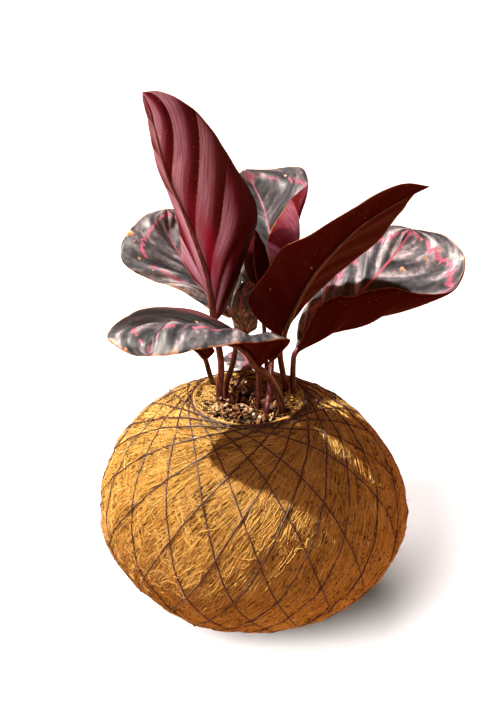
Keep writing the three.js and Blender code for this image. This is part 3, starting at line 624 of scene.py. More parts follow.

# Leaves

# Each leaf's share of painted light on its underside stands after its seed
leaves = {
    "leaf_tall": {
        "stalk": [[-17, 0, 121], [-16, -6, 143], [-18, -12, 162]],
        "midrib": [[-19, -15, 172], [-22, -25, 203], [-31, -33, 235], [-41, -37, 262],
            [-47, -41, 289], [-52, -41, 304]],
        "left": [[-17, -14, 174], [-12, -8, 181], [-5, -7, 202], [2, -14, 231], [-7, -20, 255],
            [-19, -27, 278], [-30, -33, 294], [-43, -38, 303], [-52, -41, 304]],
        "leftFold": [[-18, -14, 173], [-14, -18, 191], [-12, -24, 210], [-12, -30, 228],
            [-18, -34, 246], [-25, -38, 263], [-32, -40, 279], [-41, -42, 294], [-52, -41, 304]],
        "right": [[-21, -16, 185], [-30, -12, 195], [-35, -8, 205], [-38, -2, 224], [-41, 0, 233],
            [-47, -4, 251], [-50, -15, 274], [-52, -31, 295], [-52, -41, 304]],
        "radius": 1.7, "arch": 3, "ripples": 4.2, "ripple": 1.4, "rippleStart": 0.35,
        "foldSlant": 0.68, "scallops": 1, "seed": 1.3, "bloom": 0.9, "crimson": 0.8, "flecks": 4,
    },
    "leaf_left": {
        "stalk": [[-14, 5, 122], [-10, 1, 142], [-8, 0, 158]],
        "midrib": [[-10, 0, 170], [-20, 4, 178], [-31, 11, 187], [-38, 19, 195], [-43, 27, 203],
            [-44, 35, 213]],
        "left": [[-11, 2, 167], [-21, -3, 174], [-36, -1, 183], [-52, 3, 188], [-64, 7, 193],
            [-67, 13, 200], [-62, 23, 207], [-55, 31, 211], [-44, 35, 213]],
        "right": [[-8, 3, 173], [-6, 14, 180], [-9, 27, 187], [-16, 37, 195], [-27, 43, 203],
            [-36, 41, 209], [-44, 35, 213]],
        "radius": 1.4, "arch": 3, "ripples": 5, "ripple": 1.4,
        "seed": 2.1, "bloom": 0.15, "flecks": 3,
        # Dried places: across (-1 to 1), along (0 to 1), size in mm and strength
        "spots": ((-0.94, 0.75, 3.8, 0.45), (-0.74, 0.6, 1.8, 0.42), (-0.7, 0.5, 1.5, 0.42)),
    },
    "leaf_low_front": {
        "stalk": [[15, -14, 122], [10, -25, 143], [5, -32, 153]],
        "midrib": [[3, -33, 155], [-3, -36, 167], [-15, -39, 174], [-30, -42, 180], [-42, -46, 184],
          [-48, -54, 182], [-50, -61, 176]],
        "left": [[6, -36, 157], [13, -39, 166], [18, -41, 175], [1, -55, 180], [-14, -62, 182],
          [-31, -65, 180], [-41, -64, 178], [-50, -61, 176]],
        "leftFold": [[8, -37, 162], [11, -35, 169], [10, -35, 175], [-1, -41, 178], [-14, -45, 183],
          [-31, -49, 187], [-43, -53, 186], [-50, -61, 177]],
        "right": [[2, -31, 155], [-3, -28, 162], [-8, -23, 169], [-21, -26, 180], [-32, -25, 184],
          [-44, -25, 185], [-57, -29, 185], [-67, -37, 182], [-71, -46, 179], [-66, -53, 177],
          [-58, -58, 175], [-50, -61, 176]],
        "radius": 2, "arch": 2, "ripples": 5, "ripple": 1,
        "seed": 3.7, "bloom": 0.12, "flecks": 3, "dark": 1,
        "spots": ((1, 0.82, 4, 0.45), (0.95, 0.9, 2.2, 0.42)),
    },
    "leaf_back": {
        "stalk": [[7, -15, 122], [9, -8, 133], [10, -1, 148], [11, -1, 164]],
        "midrib": [[12, -2, 179], [10, 0, 191], [9, 5, 209], [6, 15, 221], [1, 23, 230], [-4, 27, 238]],
        "left": [[9, -4, 180], [-1, 2, 182], [-10, 11, 193], [-14, 20, 208], [-13, 27, 222],
            [-9, 29, 232], [-4, 27, 238]],
        "right": [[14, -6, 182], [9, -10, 200], [7, -13, 211], [8, -11, 220], [15, -7, 231],
            [22, -1, 237], [26, 7, 240], [25, 17, 242], [19, 25, 240], [8, 29, 237], [-4, 27, 238]],
        "rightFold": [[16, -7, 184], [19, -11, 202], [22, -16, 219], [24, -15, 231], [25, -10, 238],
            [23, 0, 240], [16, 14, 238], [5, 24, 237], [-4, 27, 238]],
        "radius": 1.4, "arch": 3, "ripples": 5, "ripple": 1.2,
        # painted shade: this leaf's upper side is darkened by half
        "seed": 4.2, "bloom": 0.45, "flecks": 3, "dull": 0.5, "ribWidth": 0.5, "ringWidth": 1.5,
    },
    "leaf_right_front": {
        "stalk": [[17, 6, 122], [16, 0, 134], [14, -7, 151]],
        "midrib": [[16, -13, 163], [17, -18, 171], [23, -25, 190], [33, -31, 210], [51, -38, 234],
            [69, -41, 248], [84, -43, 257]],
        "left": [[17, -9, 162], [19, -7, 167], [33, -8, 186], [49, -9, 202], [62, -13, 216],
            [72, -21, 234], [78, -33, 249], [84, -43, 257]],
        "right": [[14, -10, 162], [5, -22, 175], [-2, -27, 190], [6, -32, 206], [15, -36, 222],
            [25, -40, 229], [37, -43, 238], [50, -46, 248], [63, -48, 257], [73, -47, 260],
            [84, -43, 257]],
        "radius": 1.5, "arch": 3, "ripples": 6, "ripple": 0.9,
        "seed": 5.9, "bloom": 0.0, "flecks": 5,
        # Torn places: side, share of the way to the tip, half length there and depth in mm
        "notches": ((1, 0.505, 0.025, 2.2), (1, 0.65, 0.02, 1.6), (1, 0.876, 0.02, 1.5)),
    },
    "leaf_right_back": {
        "stalk": [[21, 2, 121], [21, 4, 128], [21, 4, 139]],
        "midrib": [[22, 5, 146], [31, 10, 155], [44, 20, 163], [57, 29, 170], [68, 39, 178],
            [77, 49, 185], [84, 58, 192]],
        "left": [[23, 7, 148], [25, 22, 156], [34, 40, 165], [49, 56, 178], [61, 62, 188],
            [74, 62, 192], [84, 58, 192]],
        "right": [[23, 3, 150], [35, 8, 172], [51, 12, 176], [69, 15, 178], [84, 17, 174],
            [101, 21, 173], [108, 30, 178], [110, 42, 184], [102, 52, 190], [93, 57, 191], [84, 58, 192]],
        "rightFold": [[23, 4, 146], [40, 8, 155], [59, 13, 159], [78, 18, 164], [93, 24, 169],
            [100, 32, 173], [102, 40, 178], [99, 48, 183], [93, 55, 188], [84, 58, 192]],
        "radius": 1.5, "arch": 3, "ripples": 6, "ripple": 1.2,
        "seed": 6.4, "bloom": 0.03, "flecks": 3, "ringWidth": 1.4,
        "spots": ((0.12, 0.72, 1.8, 0.5), (0.3, 0.8, 2.2, 0.42), (0.92, 0.78, 2.2, 0.45)),
    },
    "leaf_rolled": {
        "stalk": [[8, 8, 122], [7, 4, 142], [6, -1, 161]],
        "midrib": [[5, -6, 181], [3, -5, 191], [1, -5, 203], [1, -4, 218]],
        "left": [[6, -5, 182], [8, -4, 194], [7, -3, 205], [4, -3, 212], [1, -4, 218]],
        "right": [[4, -5, 182], [-1, -2, 189], [-4, -1, 200], [-1, -2, 210], [1, -4, 218]],
        "radius": 1.1, "arch": -1.5, "ripples": 3, "ripple": 0,
        "seed": 7.1, "bloom": 0.06, "small": True,
    },
    "leaf_inner": {
        "stalk": [[3, -12, 122], [3, -12, 134], [2, -12, 149]],
        "midrib": [[-3, -10, 163], [-5, -10, 173], [-6, -10, 181], [-4, -9, 186], [0, -8, 191]],
        "left": [[-5, -9, 163], [-9, -8, 167], [-10, -9, 178], [-8, -7, 185], [-5, -7, 190],
            [0, -8, 191]],
        "right": [[-2, -8, 163], [2, -6, 166], [1, -9, 179], [1, -8, 186], [1, -8, 189], [0, -8, 191]],
        "radius": 1.1, "arch": 1.5, "ripples": 3, "ripple": 0.4,
        "seed": 8.8, "bloom": 0.1, "small": True,
    },
    "leaf_low_left": {
        "stalk": [[-20, 13, 122], [-22, 11, 129], [-24, 8, 139]],
        "midrib": [[-25, 7, 142], [-27, 5, 146], [-32, 0, 152], [-38, -6, 157]],
        "left": [[-23, 6, 142], [-20, 4, 148], [-27, -3, 155], [-38, -6, 157]],
        "right": [[-26, 8, 142], [-31, 9, 146], [-34, 6, 151], [-38, -6, 157]],
        "radius": 1.3, "arch": -1.5, "ripples": 3, "ripple": 0,
        "seed": 9.5, "bloom": 0.03, "small": True,
    },
    "leaf_low_back": {
        "stalk": [[-9, 8, 121], [-7, 12, 126], [-4, 16, 128]],
        "midrib": [[-3, 19, 128], [-3, 26, 129], [-4, 36, 128], [-7, 46, 126]],
        "left": [[-5, 20, 128], [-11, 26, 127], [-15, 36, 126], [-12, 44, 126], [-7, 46, 126]],
        "right": [[-1, 20, 128], [3, 28, 127], [3, 38, 126], [-1, 45, 126], [-7, 46, 126]],
        "radius": 1.1, "arch": 2, "ripples": 3, "ripple": 0.4,
        "seed": 10.2, "bloom": 0.2, "small": True,
    },
}
bladeLook = {
    "rows": 96,
    "columns": 18,  # in each half
    "smallRows": 44,
    "smallColumns": 8,
    "thickness": 0.42,  # mm
    "tipHalfWidth": 0.7,
    "fullWidth": 14,  # mm, a half this wide bulges and ripples fully
    "veinSlant": 0.3,  # how far veins run towards the tip on their way out
    "veins": 15,
    "veinHeight": 0.12,  # mm
}


def smoothCurve(points, share):  # at these shares of the length of a smooth curve through the points
    p = np.array(points, float)
    p = np.vstack([2 * p[0] - p[1], p, 2 * p[-1] - p[-2]])
    t = np.linspace(0, len(p) - 3, 60 * (len(p) - 3) + 1)
    i = np.minimum(t.astype(int), len(p) - 4)
    t = (t - i)[:, None]
    a, b, c, d = (p[i + k] for k in range(4))
    dense = (b + t * (c - a) / 2 + t ** 2 * (a - 2.5 * b + 2 * c - d / 2)
             + t ** 3 * (1.5 * (b - c) + (d - a) / 2))
    length = np.append(0, np.cumsum(np.linalg.norm(np.diff(dense, axis=0), axis=1)))
    return np.stack([np.interp(share * length[-1], length, dense[:, k]) for k in range(3)], -1)


def bladePlaces(leaf, along, across):  # the middle surface, as rows of corners from base to tip
    centre = smoothCurve(leaf["midrib"], along)
    tangent = unit(np.gradient(centre, axis=0))
    places = np.zeros((len(along), len(across), 3))
    upwards = np.zeros_like(places)
    marks = np.zeros((len(along), len(across), 3))
    scallops = leaf.get("scallops", 0)
    rowShare = np.sqrt(np.sin(np.pi * np.clip(along, 0, 1)))[:, None]
    for side, edgeName, foldName in ((-1, "left", "leftFold"), (1, "right", "rightFold")):
        edge = smoothCurve(leaf[edgeName], along)
        outward = unit(edge - centre)
        outward[-1] = outward[-2]
        edge = edge + bladeLook["tipHalfWidth"] * outward
        upward = unit(side * np.cross(edge - centre, tangent))
        width = np.linalg.norm(edge - centre, axis=1)
        full = np.minimum(1, width / bladeLook["fullWidth"])[:, None]
        if foldName in leaf:
            control = 2 * smoothCurve(leaf[foldName], along) - (centre + edge) / 2
        else:
            control = (centre + edge) / 2 + 2 * leaf["arch"] * full * upward
        kept = 1 - raggedness(leaf, side, along) / np.maximum(width, 3)
        half = across < 0 if side < 0 else across >= 0
        for column in np.flatnonzero(half):
            out = (np.abs(across[column]) * kept)[:, None]
            slant = along[:, None] - bladeLook["veinSlant"] * out
            steep = leaf.get("foldSlant", bladeLook["veinSlant"]) - 0.3 * scallops * along[:, None]
            folds = leaf["ripples"] * (along[:, None] - steep * out ** 0.8) + leaf.get("rippleStart", 0)
            rise = leaf["ripple"] * rippleShape(folds, scallops)
            rise = rise + bladeLook["veinHeight"] * np.cos(2 * np.pi * bladeLook["veins"] * slant)
            rise = rise * np.sin(np.pi * np.clip(out, 0, 1)) ** 0.7 * rowShare * full
            curve = centre * (1 - out) ** 2 + 2 * control * out * (1 - out) + edge * out ** 2
            places[:, column] = curve + rise * upward
            upwards[:, column] = upward
            marks[:, column] = np.stack([folds[:, 0], out[:, 0] * width, (kept - out[:, 0]) * width], -1)
    return places, upwards, marks


def rippleShape(turns, scallops):  # waves, or rounded folds with sharp creases between them
    waves = np.sin(2 * np.pi * turns) + 0.18 * np.sin(4 * np.pi * turns)
    return (1 - scallops) * waves + scallops * (1.3 - 2 * np.abs(np.sin(np.pi * turns)))


def raggedness(leaf, side, along):  # mm that are worn off a half's margin at each row
    seed = leaf["seed"] + side
    wear = 0.34 + 0.22 * np.sin(along * 23 + seed) + 0.1 * np.sin(along * 67 + 2 * seed)
    for notchSide, middle, width, depth in leaf.get("notches", ()):
        if notchSide == side:
            wear = wear + depth * np.clip(1 - np.abs(along - middle) / width, 0, 1) ** 1.5
    return wear * np.sin(np.pi * along) ** 0.5


def blade(leaf, materials):  # a grid bent to the middle surface, then thickened
    small = leaf.get("small", False)
    rows = bladeLook["smallRows" if small else "rows"]
    columns = 2 * bladeLook["smallColumns" if small else "columns"]
    bpy.ops.mesh.primitive_grid_add(x_subdivisions=columns, y_subdivisions=rows, size=2)
    sheet = bpy.context.object
    mesh = sheet.data
    flat = np.empty(3 * len(mesh.vertices))
    mesh.vertices.foreach_get("co", flat)
    flat = flat.reshape(-1, 3)
    row = np.round((flat[:, 1] + 1) / 2 * rows).astype(int)
    column = np.round((flat[:, 0] + 1) / 2 * columns).astype(int)
    along, across = np.linspace(0, 1, rows + 1), np.linspace(-1, 1, columns + 1)
    places, _, marks = bladePlaces(leaf, along, across)
    mesh.vertices.foreach_set("co", (places[row, column] * mm).ravel())
    out, v = np.abs(across[column]), along[row]
    ring = (np.sqrt((out / 0.66) ** 2 + ((v - 0.53) / 0.455) ** 2) - 1) / leaf.get("ringWidth", 1)
    where = places[row, column]
    fold, fromRib, fromMargin = marks[row, column].T
    values = {"out": out, "slant": v - bladeLook["veinSlant"] * out, "ring": ring, "fold": fold,
              "fromRib": fromRib / leaf.get("ribWidth", 1), "fromMargin": fromMargin,
              "scar": scars(leaf, where, places, along, across), "crimson": glowing(leaf, v, across[column]),
              "bloom": paintedLightShare(leaf, v, across[column]), "dark": sunless(leaf, v, across[column]),
              "dull": np.full(len(v), leaf.get("dull", 0.0)),
              "shade": np.full(len(v), leaf["seed"] * 7.3)}
    for label, value in values.items():
        mesh.attributes.new(label, "FLOAT", "POINT").data.foreach_set("value", value)
    for material in materials[:2]:
        mesh.materials.append(material)
    mesh.shade_smooth()
    thick = sheet.modifiers.new("thickness", "SOLIDIFY")
    thick.thickness = bladeLook["thickness"] * mm
    thick.offset = 0
    thick.material_offset = 1
    thick.material_offset_rim = 1
    bpy.ops.object.modifier_apply(modifier=thick.name)
    return sheet


def scars(leaf, where, places, along, across):  # dried spots, as how brown each corner is
    brown = np.zeros(len(where))
    spots = list(leaf.get("spots", ()))
    spots += [(chance.uniform(-0.9, 0.9), chance.uniform(0.1, 0.95), chance.uniform(0.3, 0.9), 0.7)
              for _ in range(leaf.get("flecks", 1))]
    for u, v, size, strength in spots:
        centre = places[int(round(v * (len(along) - 1))), int(round((u + 1) / 2 * (len(across) - 1)))]
        away = np.linalg.norm(where - centre, axis=1) / size
        brown = np.maximum(brown, strength * np.clip(1.35 - away, 0, 1))
    return brown


def paintedLightShare(leaf, v, u):  # painted light: how pale the underside is, by how sunlit each leaf stands, with painted shade near the middle of the tall leaf's left margin where it turns away from the sun
    turned = np.clip((-u - 0.42 - 1.1 * np.clip(v - 0.3, 0, 1)) / 0.2, 0, 1) * leaf.get("scallops", 0)
    return leaf["bloom"] * (1 - turned)


def glowing(leaf, v, u):  # where light comes through beside the midrib
    return leaf.get("crimson", 0) * np.exp(-((u + 0.17) / 0.12) ** 2 - ((v - 0.34) / 0.2) ** 2)


def sunless(leaf, v, u):  # the half of the boat-shaped leaf that its own keel shades
    return leaf.get("dark", 0) * np.clip((u - 0.2) / 0.15, 0, 1) * np.clip((0.8 - v) / 0.08, 0, 1)


def petiole(leaf, material):  # the stalk, which runs on half sunk under the blade as its midrib
    foot = (0.6 * leaf["stalk"][0][0], 0.6 * leaf["stalk"][0][1], 103.5)
    join = smoothCurve(leaf["midrib"], np.array([0.08]))[0]
    lower = smoothCurve([foot, *leaf["stalk"], leaf["midrib"][0], join], np.linspace(0, 1, 61))
    top = np.argmin(np.linalg.norm(lower - leaf["midrib"][0], axis=1))
    along = np.linspace(0.01, 0.93, 70)
    rib, upwards, _ = bladePlaces(leaf, along, np.array([0.0]))
    reach = np.clip(along / 0.93, 0, 1)
    ribRadius = leaf["radius"] * (1 - reach) ** 0.7 * 0.8 + 0.14
    ribRadius = ribRadius + (leaf["radius"] - ribRadius) * np.clip(1 - along / 0.08, 0, 1)
    sunk = 0.75 * ribRadius * np.clip(along / 0.06, 0, 1)
    rib = rib[:, 0] - upwards[:, 0] * sunk[:, None]
    path = np.vstack([lower[:top], rib])
    radii = np.append(leaf["radius"] * np.linspace(1.12, 1, top), ribRadius)
    levels = 74
    length = np.append(0, np.cumsum(np.linalg.norm(np.diff(path, axis=0), axis=1)))
    share = np.linspace(0, length[-1], levels)
    path = np.stack([np.interp(share, length, path[:, k]) for k in range(3)], -1)
    path[1:-1] = (path[:-2] + 2 * path[1:-1] + path[2:]) / 4
    radii = np.interp(share, length, radii)
    corners, faces = sweep(needle(10, levels - 4), path[None], radii[None], np.array([1.0, 0.3, 0]))
    return newPiece("petiole", corners, faces, material)


def streaksOf(add, values, across, stretch, detail):  # noise that runs along veins or folds
    place = add("CombineXYZ", {"X": values[across], "Y": values["out"], "Z": values["shade"]})
    place = add("VectorMath", {0: place, 1: stretch}, operation="MULTIPLY")
    return add("TexNoise", {"Vector": place, "Scale": 1, "Detail": detail})


def leafUpper():  # waxy and nearly black, with painted sheen in grey patches and a feathered pink ring
    upper, add = newMaterial("living calathea leaf, waxy upper side", {
        "Roughness": 0.46, "Specular IOR Level": 0.42})
    values = {name: add("Attribute", {}, output="Fac", attribute_name=name)
              for name in ("out", "slant", "ring", "scar", "shade", "fromRib", "fromMargin", "dark", "dull")}
    streak = streaksOf(add, values, "slant", (34, 2.6, 1), 3)
    patch = streaksOf(add, values, "slant", (13, 2.2, 1), 2)
    place = add("TexCoord", {}, output="Object")
    dust = add("TexNoise", {"Vector": place, "Scale": 420, "Detail": 3})
    mixed = patch
    for noise, share in ((streak, 0.3), (dust, 0.35)):
        mixed = add("Math", {0: noise, 1: share, 2: mixed}, operation="MULTIPLY_ADD")
    mixed = add("Math", {0: mixed, 1: 0.61}, operation="MULTIPLY")
    # painted sheen: grey to near-white patches on the near-black ground, streaked along the veins and dusted
    painted = add("ValToRGB", {0: mixed}, stops=(
        (0.36, "#1c2023"), (0.46, "#3a3e44"), (0.55, "#66646c"), (0.66, "#bcb4bc")))
    jag = add("Math", {0: streak, 1: 0.42, 2: values["ring"]}, operation="MULTIPLY_ADD")
    pink = add("ValToRGB", {0: jag}, stops=(
        (0.14, "#000000"), (0.16, "#ffffff"), (0.22, "#ffffff"), (0.24, "#000000")))
    broken = add("ValToRGB", {0: patch}, stops=((0.40, "#000000"), (0.46, "#ffffff")))
    pink = add("Math", {0: pink, 1: broken}, operation="MULTIPLY")
    black = add("Math", {0: values["dark"], 1: 0.9}, operation="MULTIPLY")
    edge = add("Math", {0: patch, 1: -5, 2: values["fromMargin"]}, operation="MULTIPLY_ADD")
    rib, rolled, nearStalk, worn = (
        add("MapRange", {"Value": value, "From Min": low, "From Max": high, "To Min": 1, "To Max": 0})
        for value, low, high in ((values["fromRib"], 0.25, 0.55), (values["fromMargin"], 5, 7),
                                 (values["slant"], 0.2, 0.3), (edge, -2.3, -2.0)))
    for share in (values["dark"], nearStalk):
        rolled = add("Math", {0: rolled, 1: share}, operation="MULTIPLY")
    # Layers over the ground: ring, painted shade on the back leaf, the keel's painted shade, midrib, rolled
    # edge, worn margin
    for share, colour in ((pink, "#b8627e"), (values["dull"], "#15171b"), (black, "#0c0d0e"),
                          (rib, "#b0566c"), (rolled, "#5c3238"), (worn, "#b08a70")):
        painted = add("MixRGB", {0: share, 1: painted, 2: linear(colour)})
    scar = add("Math", {0: dust, 1: 0.5, 2: values["scar"]}, operation="MULTIPLY_ADD")
    dry = add("ValToRGB", {0: scar}, stops=((0.52, "#000000"), (0.62, "#ffffff")))
    tan = add("ValToRGB", {0: dust}, stops=((0.35, "#7c4c2a"), (0.5, "#ac7a50"), (0.65, "#ccac8c")))
    painted = add("MixRGB", {0: dry, 1: painted, 2: tan})
    return dress(upper, painted, streak, 0.35, 0.0004)


def leafUnder():  # deep maroon, with painted light: paler on the sunward slope of each fold and on leaves that stand in the sun
    under, add = newMaterial("living calathea leaf, satin underside", {
        "Roughness": 0.5, "Specular IOR Level": 0.06, "Sheen Weight": 0.05, "Sheen Roughness": 0.4,
        "Sheen Tint": linear("#e0a0ac")})
    values = {name: add("Attribute", {}, output="Fac", attribute_name=name)
              for name in ("out", "slant", "scar", "bloom", "shade", "fold", "crimson", "fromMargin")}
    streak = streaksOf(add, values, "slant", (40, 2, 1), 3)
    place = add("TexCoord", {}, output="Object")
    dust = add("TexNoise", {"Vector": place, "Scale": 380, "Detail": 4})
    turn = add("Math", {0: values["fold"]}, operation="FRACT")
    # painted light and shade across each fold: palest just beside one crease, fading to dark towards the
    # next
    paintedFlankLight = add("ValToRGB", {0: turn}, stops=(
        (0.06, "#000000"), (0.3, "#606060"), (0.6, "#e4e4e4"), (0.97, "#ffffff"), (1.0, "#000000")))
    fine = streaksOf(add, values, "fold", (34, 5, 1), 3)
    grain = add("MapRange", {
        "Value": fine, "From Min": 0.3, "From Max": 0.7, "To Min": 0.55, "To Max": 1.15})
    mixed = paintedFlankLight
    for share in (grain, values["bloom"]):
        mixed = add("Math", {0: mixed, 1: share}, operation="MULTIPLY")
    for noise, share in ((streak, 0.12), (dust, 0.05)):
        mixed = add("Math", {0: noise, 1: share, 2: mixed}, operation="MULTIPLY_ADD")
    # from the deep maroon ground to the pale pinkish grey of painted light
    painted = add("ValToRGB", {0: mixed}, stops=(
        (0.1, "#420509"), (0.3, "#561c28"), (0.62, "#784a58"), (1.0, "#967480")))
    edge = add("Math", {0: streak, 1: -1, 2: values["fromMargin"]}, operation="MULTIPLY_ADD")
    worn = add("MapRange", {
        "Value": edge, "From Min": -0.35, "From Max": -0.15, "To Min": 1, "To Max": 0})
    pale = add("TexNoise", {"Vector": place, "Scale": 1100, "Detail": 1})
    pale = add("ValToRGB", {0: pale}, stops=((0.72, "#000000"), (0.78, "#c0c0c0")))
    scar = add("Math", {0: dust, 1: 0.5, 2: values["scar"]}, operation="MULTIPLY_ADD")
    dry = add("ValToRGB", {0: scar}, stops=((0.62, "#000000"), (0.72, "#ffffff")))
    # Layers over the ground: light through the blade, worn margin, pale specks, dried spots
    for share, colour in ((values["crimson"], "#840a2a"), (worn, "#7a5038"), (pale, "#a87c6c"),
                          (dry, "#a9794a")):
        painted = add("MixRGB", {0: share, 1: painted, 2: linear(colour)})
    return dress(under, painted, streak, 0.4, 0.0004)


def stalkSkin():  # juicy red-brown stalk with a dull gloss
    skin, add = newMaterial("calathea stalk, smooth and juicy", {
        "Roughness": 0.36, "Specular IOR Level": 0.5})
    place = add("TexCoord", {}, output="Object")
    long = add("VectorMath", {0: place, 1: (520, 520, 60)}, operation="MULTIPLY")
    streak = add("TexNoise", {"Vector": long, "Scale": 1, "Detail": 2})
    colour = add("ValToRGB", {0: streak}, stops=((0.3, "#240809"), (0.5, "#461618"), (0.72, "#6c2e34")))
    return dress(skin, colour, streak, 0.3, 0.0003)


leafMaterials = (leafUpper(), leafUnder(), stalkSkin())
for node, leaf in leaves.items():
    sheet = blade(leaf, leafMaterials)
    stem = petiole(leaf, leafMaterials[2])
    bpy.ops.object.select_all(action="DESELECT")
    stem.select_set(True)
    sheet.select_set(True)
    bpy.context.view_layer.objects.active = sheet
    bpy.ops.object.join()
    sheet.name = "leaf" + node[5:].title().replace("_", "")
    addPiece(sheet, node)
print("leaves are grown")

# Soil in the opening, with bark shavings and perlite

opening = {
    "reach": 31,  # mm, of the mound
    "middle": 110,
    "rise": 9.3,
    "depth": 8,
    "strewn": 26.5,  # mm, how far out loose bits lie
    "shavings": 340,
    "chunks": 34,
    "perlite": 30,
    "crumbs": 520,
}


def soilHeight(x, y):
    reach = np.minimum(1, np.hypot(x - coir["mouthOffset"], y) / opening["reach"])
    bumps = 0.35 * np.sin(0.9 * x + 1) * np.sin(1.1 * y) + 0.3 * np.sin(2.3 * x - 1.7 * y)
    return opening["middle"] + opening["rise"] * np.sqrt(1 - reach ** 4) + bumps


def soilMound(material):
    bpy.ops.mesh.primitive_uv_sphere_add(segments=96, ring_count=64, radius=1)
    mound = bpy.context.object
    mound.name = "soilMound"
    corners = np.array([vertex.co[:] for vertex in mound.data.vertices])
    x, y = corners[:, 0] * opening["reach"] + coir["mouthOffset"], corners[:, 1] * opening["reach"]
    under = opening["middle"] + opening["depth"] * corners[:, 2]
    z = np.where(corners[:, 2] > 0, soilHeight(x, y), under)
    mound.data.vertices.foreach_set("co", (np.stack([x, y, z], -1) * mm).ravel())
    mound.data.materials.append(material)
    mound.data.shade_smooth()
    addPiece(mound, "soil_core")


def turnMatrix(total):  # random turns about z, then tilts
    spin, tilt, way = (chance.uniform(0, 2 * np.pi, total), chance.normal(0, 0.45, total),
                       chance.uniform(0, 2 * np.pi, total))
    c, s, zero = np.cos(spin), np.sin(spin), np.zeros(total)
    flat = np.stack([c, -s, zero, s, c, zero, zero, zero, zero + 1], -1).reshape(-1, 3, 3)
    axis = np.stack([np.cos(way), np.sin(way), zero], -1)
    cross = np.zeros((total, 3, 3))
    cross[:, 0, 2], cross[:, 2, 0] = axis[:, 1], -axis[:, 1]
    cross[:, 1, 2], cross[:, 2, 1] = -axis[:, 0], axis[:, 0]
    s, c = np.sin(tilt)[:, None, None], np.cos(tilt)[:, None, None]
    lean = np.eye(3) + s * cross + (1 - c) * (cross @ cross)
    return lean @ flat


def scatter(name, material, corners, faces, lift, tone):  # copies strewn over the soil, darker in the shade
    total = len(corners)
    away, way = opening["strewn"] * np.sqrt(chance.random(total)), chance.uniform(0, 2 * np.pi, total)
    x, y = away * np.cos(way) + coir["mouthOffset"], away * np.sin(way)
    place = np.stack([x, y, soilHeight(x, y) + chance.uniform(*lift, total)], -1)
    placed = np.einsum("nij,nkj->nki", turnMatrix(total), corners) + place[:, None]
    allFaces = faces[None] + (np.arange(total) * corners.shape[1])[:, None, None]
    # painted shade: tone darker towards the front right of the opening
    tone = tone - 0.3 * np.clip((x - y) / 30, 0, 1)
    values = {"tone": np.repeat(tone, corners.shape[1])}
    made = newPiece(name, placed.reshape(-1, 3), allFaces.reshape(-1, faces.shape[1]), material, values)
    addPiece(made, "soil_core")


def shavings(material):  # thin strips of bark that curl as they dry
    bpy.ops.mesh.primitive_grid_add(x_subdivisions=9, y_subdivisions=2, size=1)
    strip = bpy.context.object
    thick = strip.modifiers.new("thickness", "SOLIDIFY")
    thick.thickness = 0.12
    thick.offset = 0
    bpy.ops.object.modifier_apply(modifier=thick.name)
    shape, faces = takeShape(strip)
    total = opening["shavings"]
    length = chance.uniform(4, 11, total)[:, None]
    width = chance.uniform(0.6, 2.2, total)[:, None]
    curl = chance.uniform(0.4, 4.2, total)[:, None] * chance.choice([-1, 1], total)[:, None]
    twist = chance.normal(0, 0.8, total)[:, None] * shape[:, 0]
    radius = length / curl
    angle = curl * shape[:, 0]
    out = shape[:, 2] * 3
    x = (radius - out) * np.sin(angle)
    z = radius - (radius - out) * np.cos(angle)
    y = width * shape[:, 1] * (1 - 0.5 * (2 * shape[:, 0]) ** 4)
    c, s = np.cos(twist), np.sin(twist)
    corners = np.stack([x, y * c - z * s, y * s + z * c], -1)
    scatter("barkShavings", material, corners, faces, (0.2, 2.4), chance.normal(0.55, 0.24, total))


def grains(name, material, total, size, flatness, rough, lift, tone, detail):
    bpy.ops.mesh.primitive_ico_sphere_add(subdivisions=detail, radius=1)
    shape, faces = takeShape(bpy.context.object)
    stretch = np.stack([chance.uniform(0.7, 1.5, total), chance.uniform(0.7, 1.3, total),
                        chance.uniform(*flatness, total)], -1)
    corners = shape * stretch[:, None] * chance.uniform(*size, (total, 1, 1))
    corners = corners * (1 + rough * chance.normal(0, 1, (total, len(shape), 1)))
    scatter(name, material, corners, faces, lift, tone)


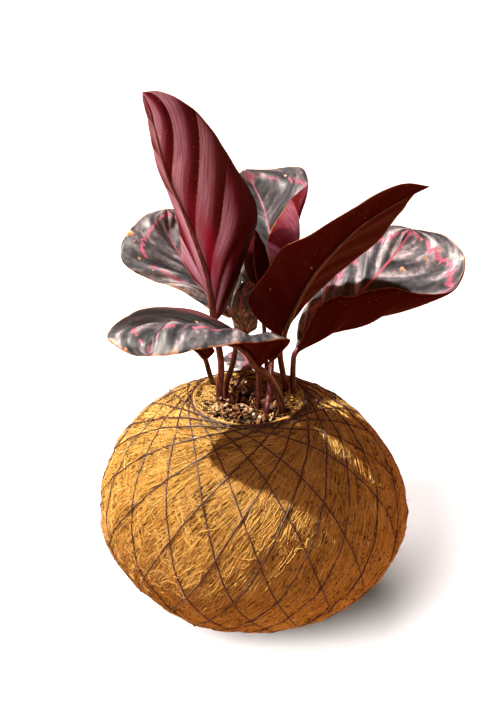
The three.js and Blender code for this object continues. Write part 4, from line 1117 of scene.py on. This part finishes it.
def looseStuff(name, look, stops, scale):  # rough grains, coloured by their own tone
    stuff, add = newMaterial(name, look)
    tone = add("Attribute", {}, output="Fac", attribute_name="tone")
    place = add("TexCoord", {}, output="Object")
    grain = add("TexNoise", {"Vector": place, "Scale": scale, "Detail": 4})
    mixed = add("Math", {0: grain, 1: 0.6, 2: tone}, operation="MULTIPLY_ADD")
    mixed = add("Math", {0: mixed, 1: 0.3}, operation="SUBTRACT")
    colour = add("ValToRGB", {0: mixed}, stops=stops)
    return dress(stuff, colour, grain, 0.6, 0.0004)


earth = looseStuff("moist potting mix", {"Roughness": 0.9, "Specular IOR Level": 0.25}, (
    (0.3, "#120b07"), (0.55, "#2a1a10"), (0.8, "#4c3420")), 900)
barkSkin = looseStuff("shaved pine bark, dry", {"Roughness": 0.75, "Specular IOR Level": 0.3}, (
    (0.1, "#301a0a"), (0.4, "#6e4828"), (0.65, "#9c744c"), (0.95, "#c8b08c")), 600)
darkBark = looseStuff("composted bark", {"Roughness": 0.85, "Specular IOR Level": 0.25}, (
    (0.2, "#140d08"), (0.5, "#382214"), (0.8, "#604228")), 700)
glassFoam = looseStuff("expanded perlite", {"Roughness": 0.8, "Specular IOR Level": 0.3}, (
    (0.2, "#cfc8bc"), (0.6, "#f4f1ea")), 1500)
soilMound(earth)
shavings(barkSkin)
grains("barkChunks", darkBark, opening["chunks"], (1.0, 2.4), (0.4, 0.8), 0.08, (-0.3, 1.2),
       chance.normal(0.5, 0.2, opening["chunks"]), 2)
grains("perliteGrains", glassFoam, opening["perlite"], (0.5, 1.1), (0.7, 1), 0.1, (0.2, 1.8),
       chance.normal(0.6, 0.1, opening["perlite"]), 2)
grains("soilCrumbs", earth, opening["crumbs"], (0.25, 0.7), (0.6, 1), 0.12, (-0.2, 0.9),
       chance.normal(0.5, 0.2, opening["crumbs"]), 1)
root = looseStuff("rhizome, pale corky skin", {"Roughness": 0.9}, ((0.2, "#6e4e30"), (0.7, "#a08058")), 300)
bpy.data.objects["rhizome"].material_slots[0].material = root
print("soil is in")

# What each light reaches

ballNames = ("coir", "twine", "soil", "bark", "perlite")
allPieces = [thing for thing in bpy.data.objects if thing.type == "MESH" and thing is not floor]
ballPieces = [piece for piece in allPieces if piece.name.startswith(ballNames)]
reachOnly(keySun, [piece for piece in allPieces if piece not in ballPieces])
lightOnly("ballKey", ballPieces)
lightOnly("leafFill", [bpy.data.objects[name] for name in ("leafTall", "leafBack")])
lightOnly("ballFill", ballPieces)
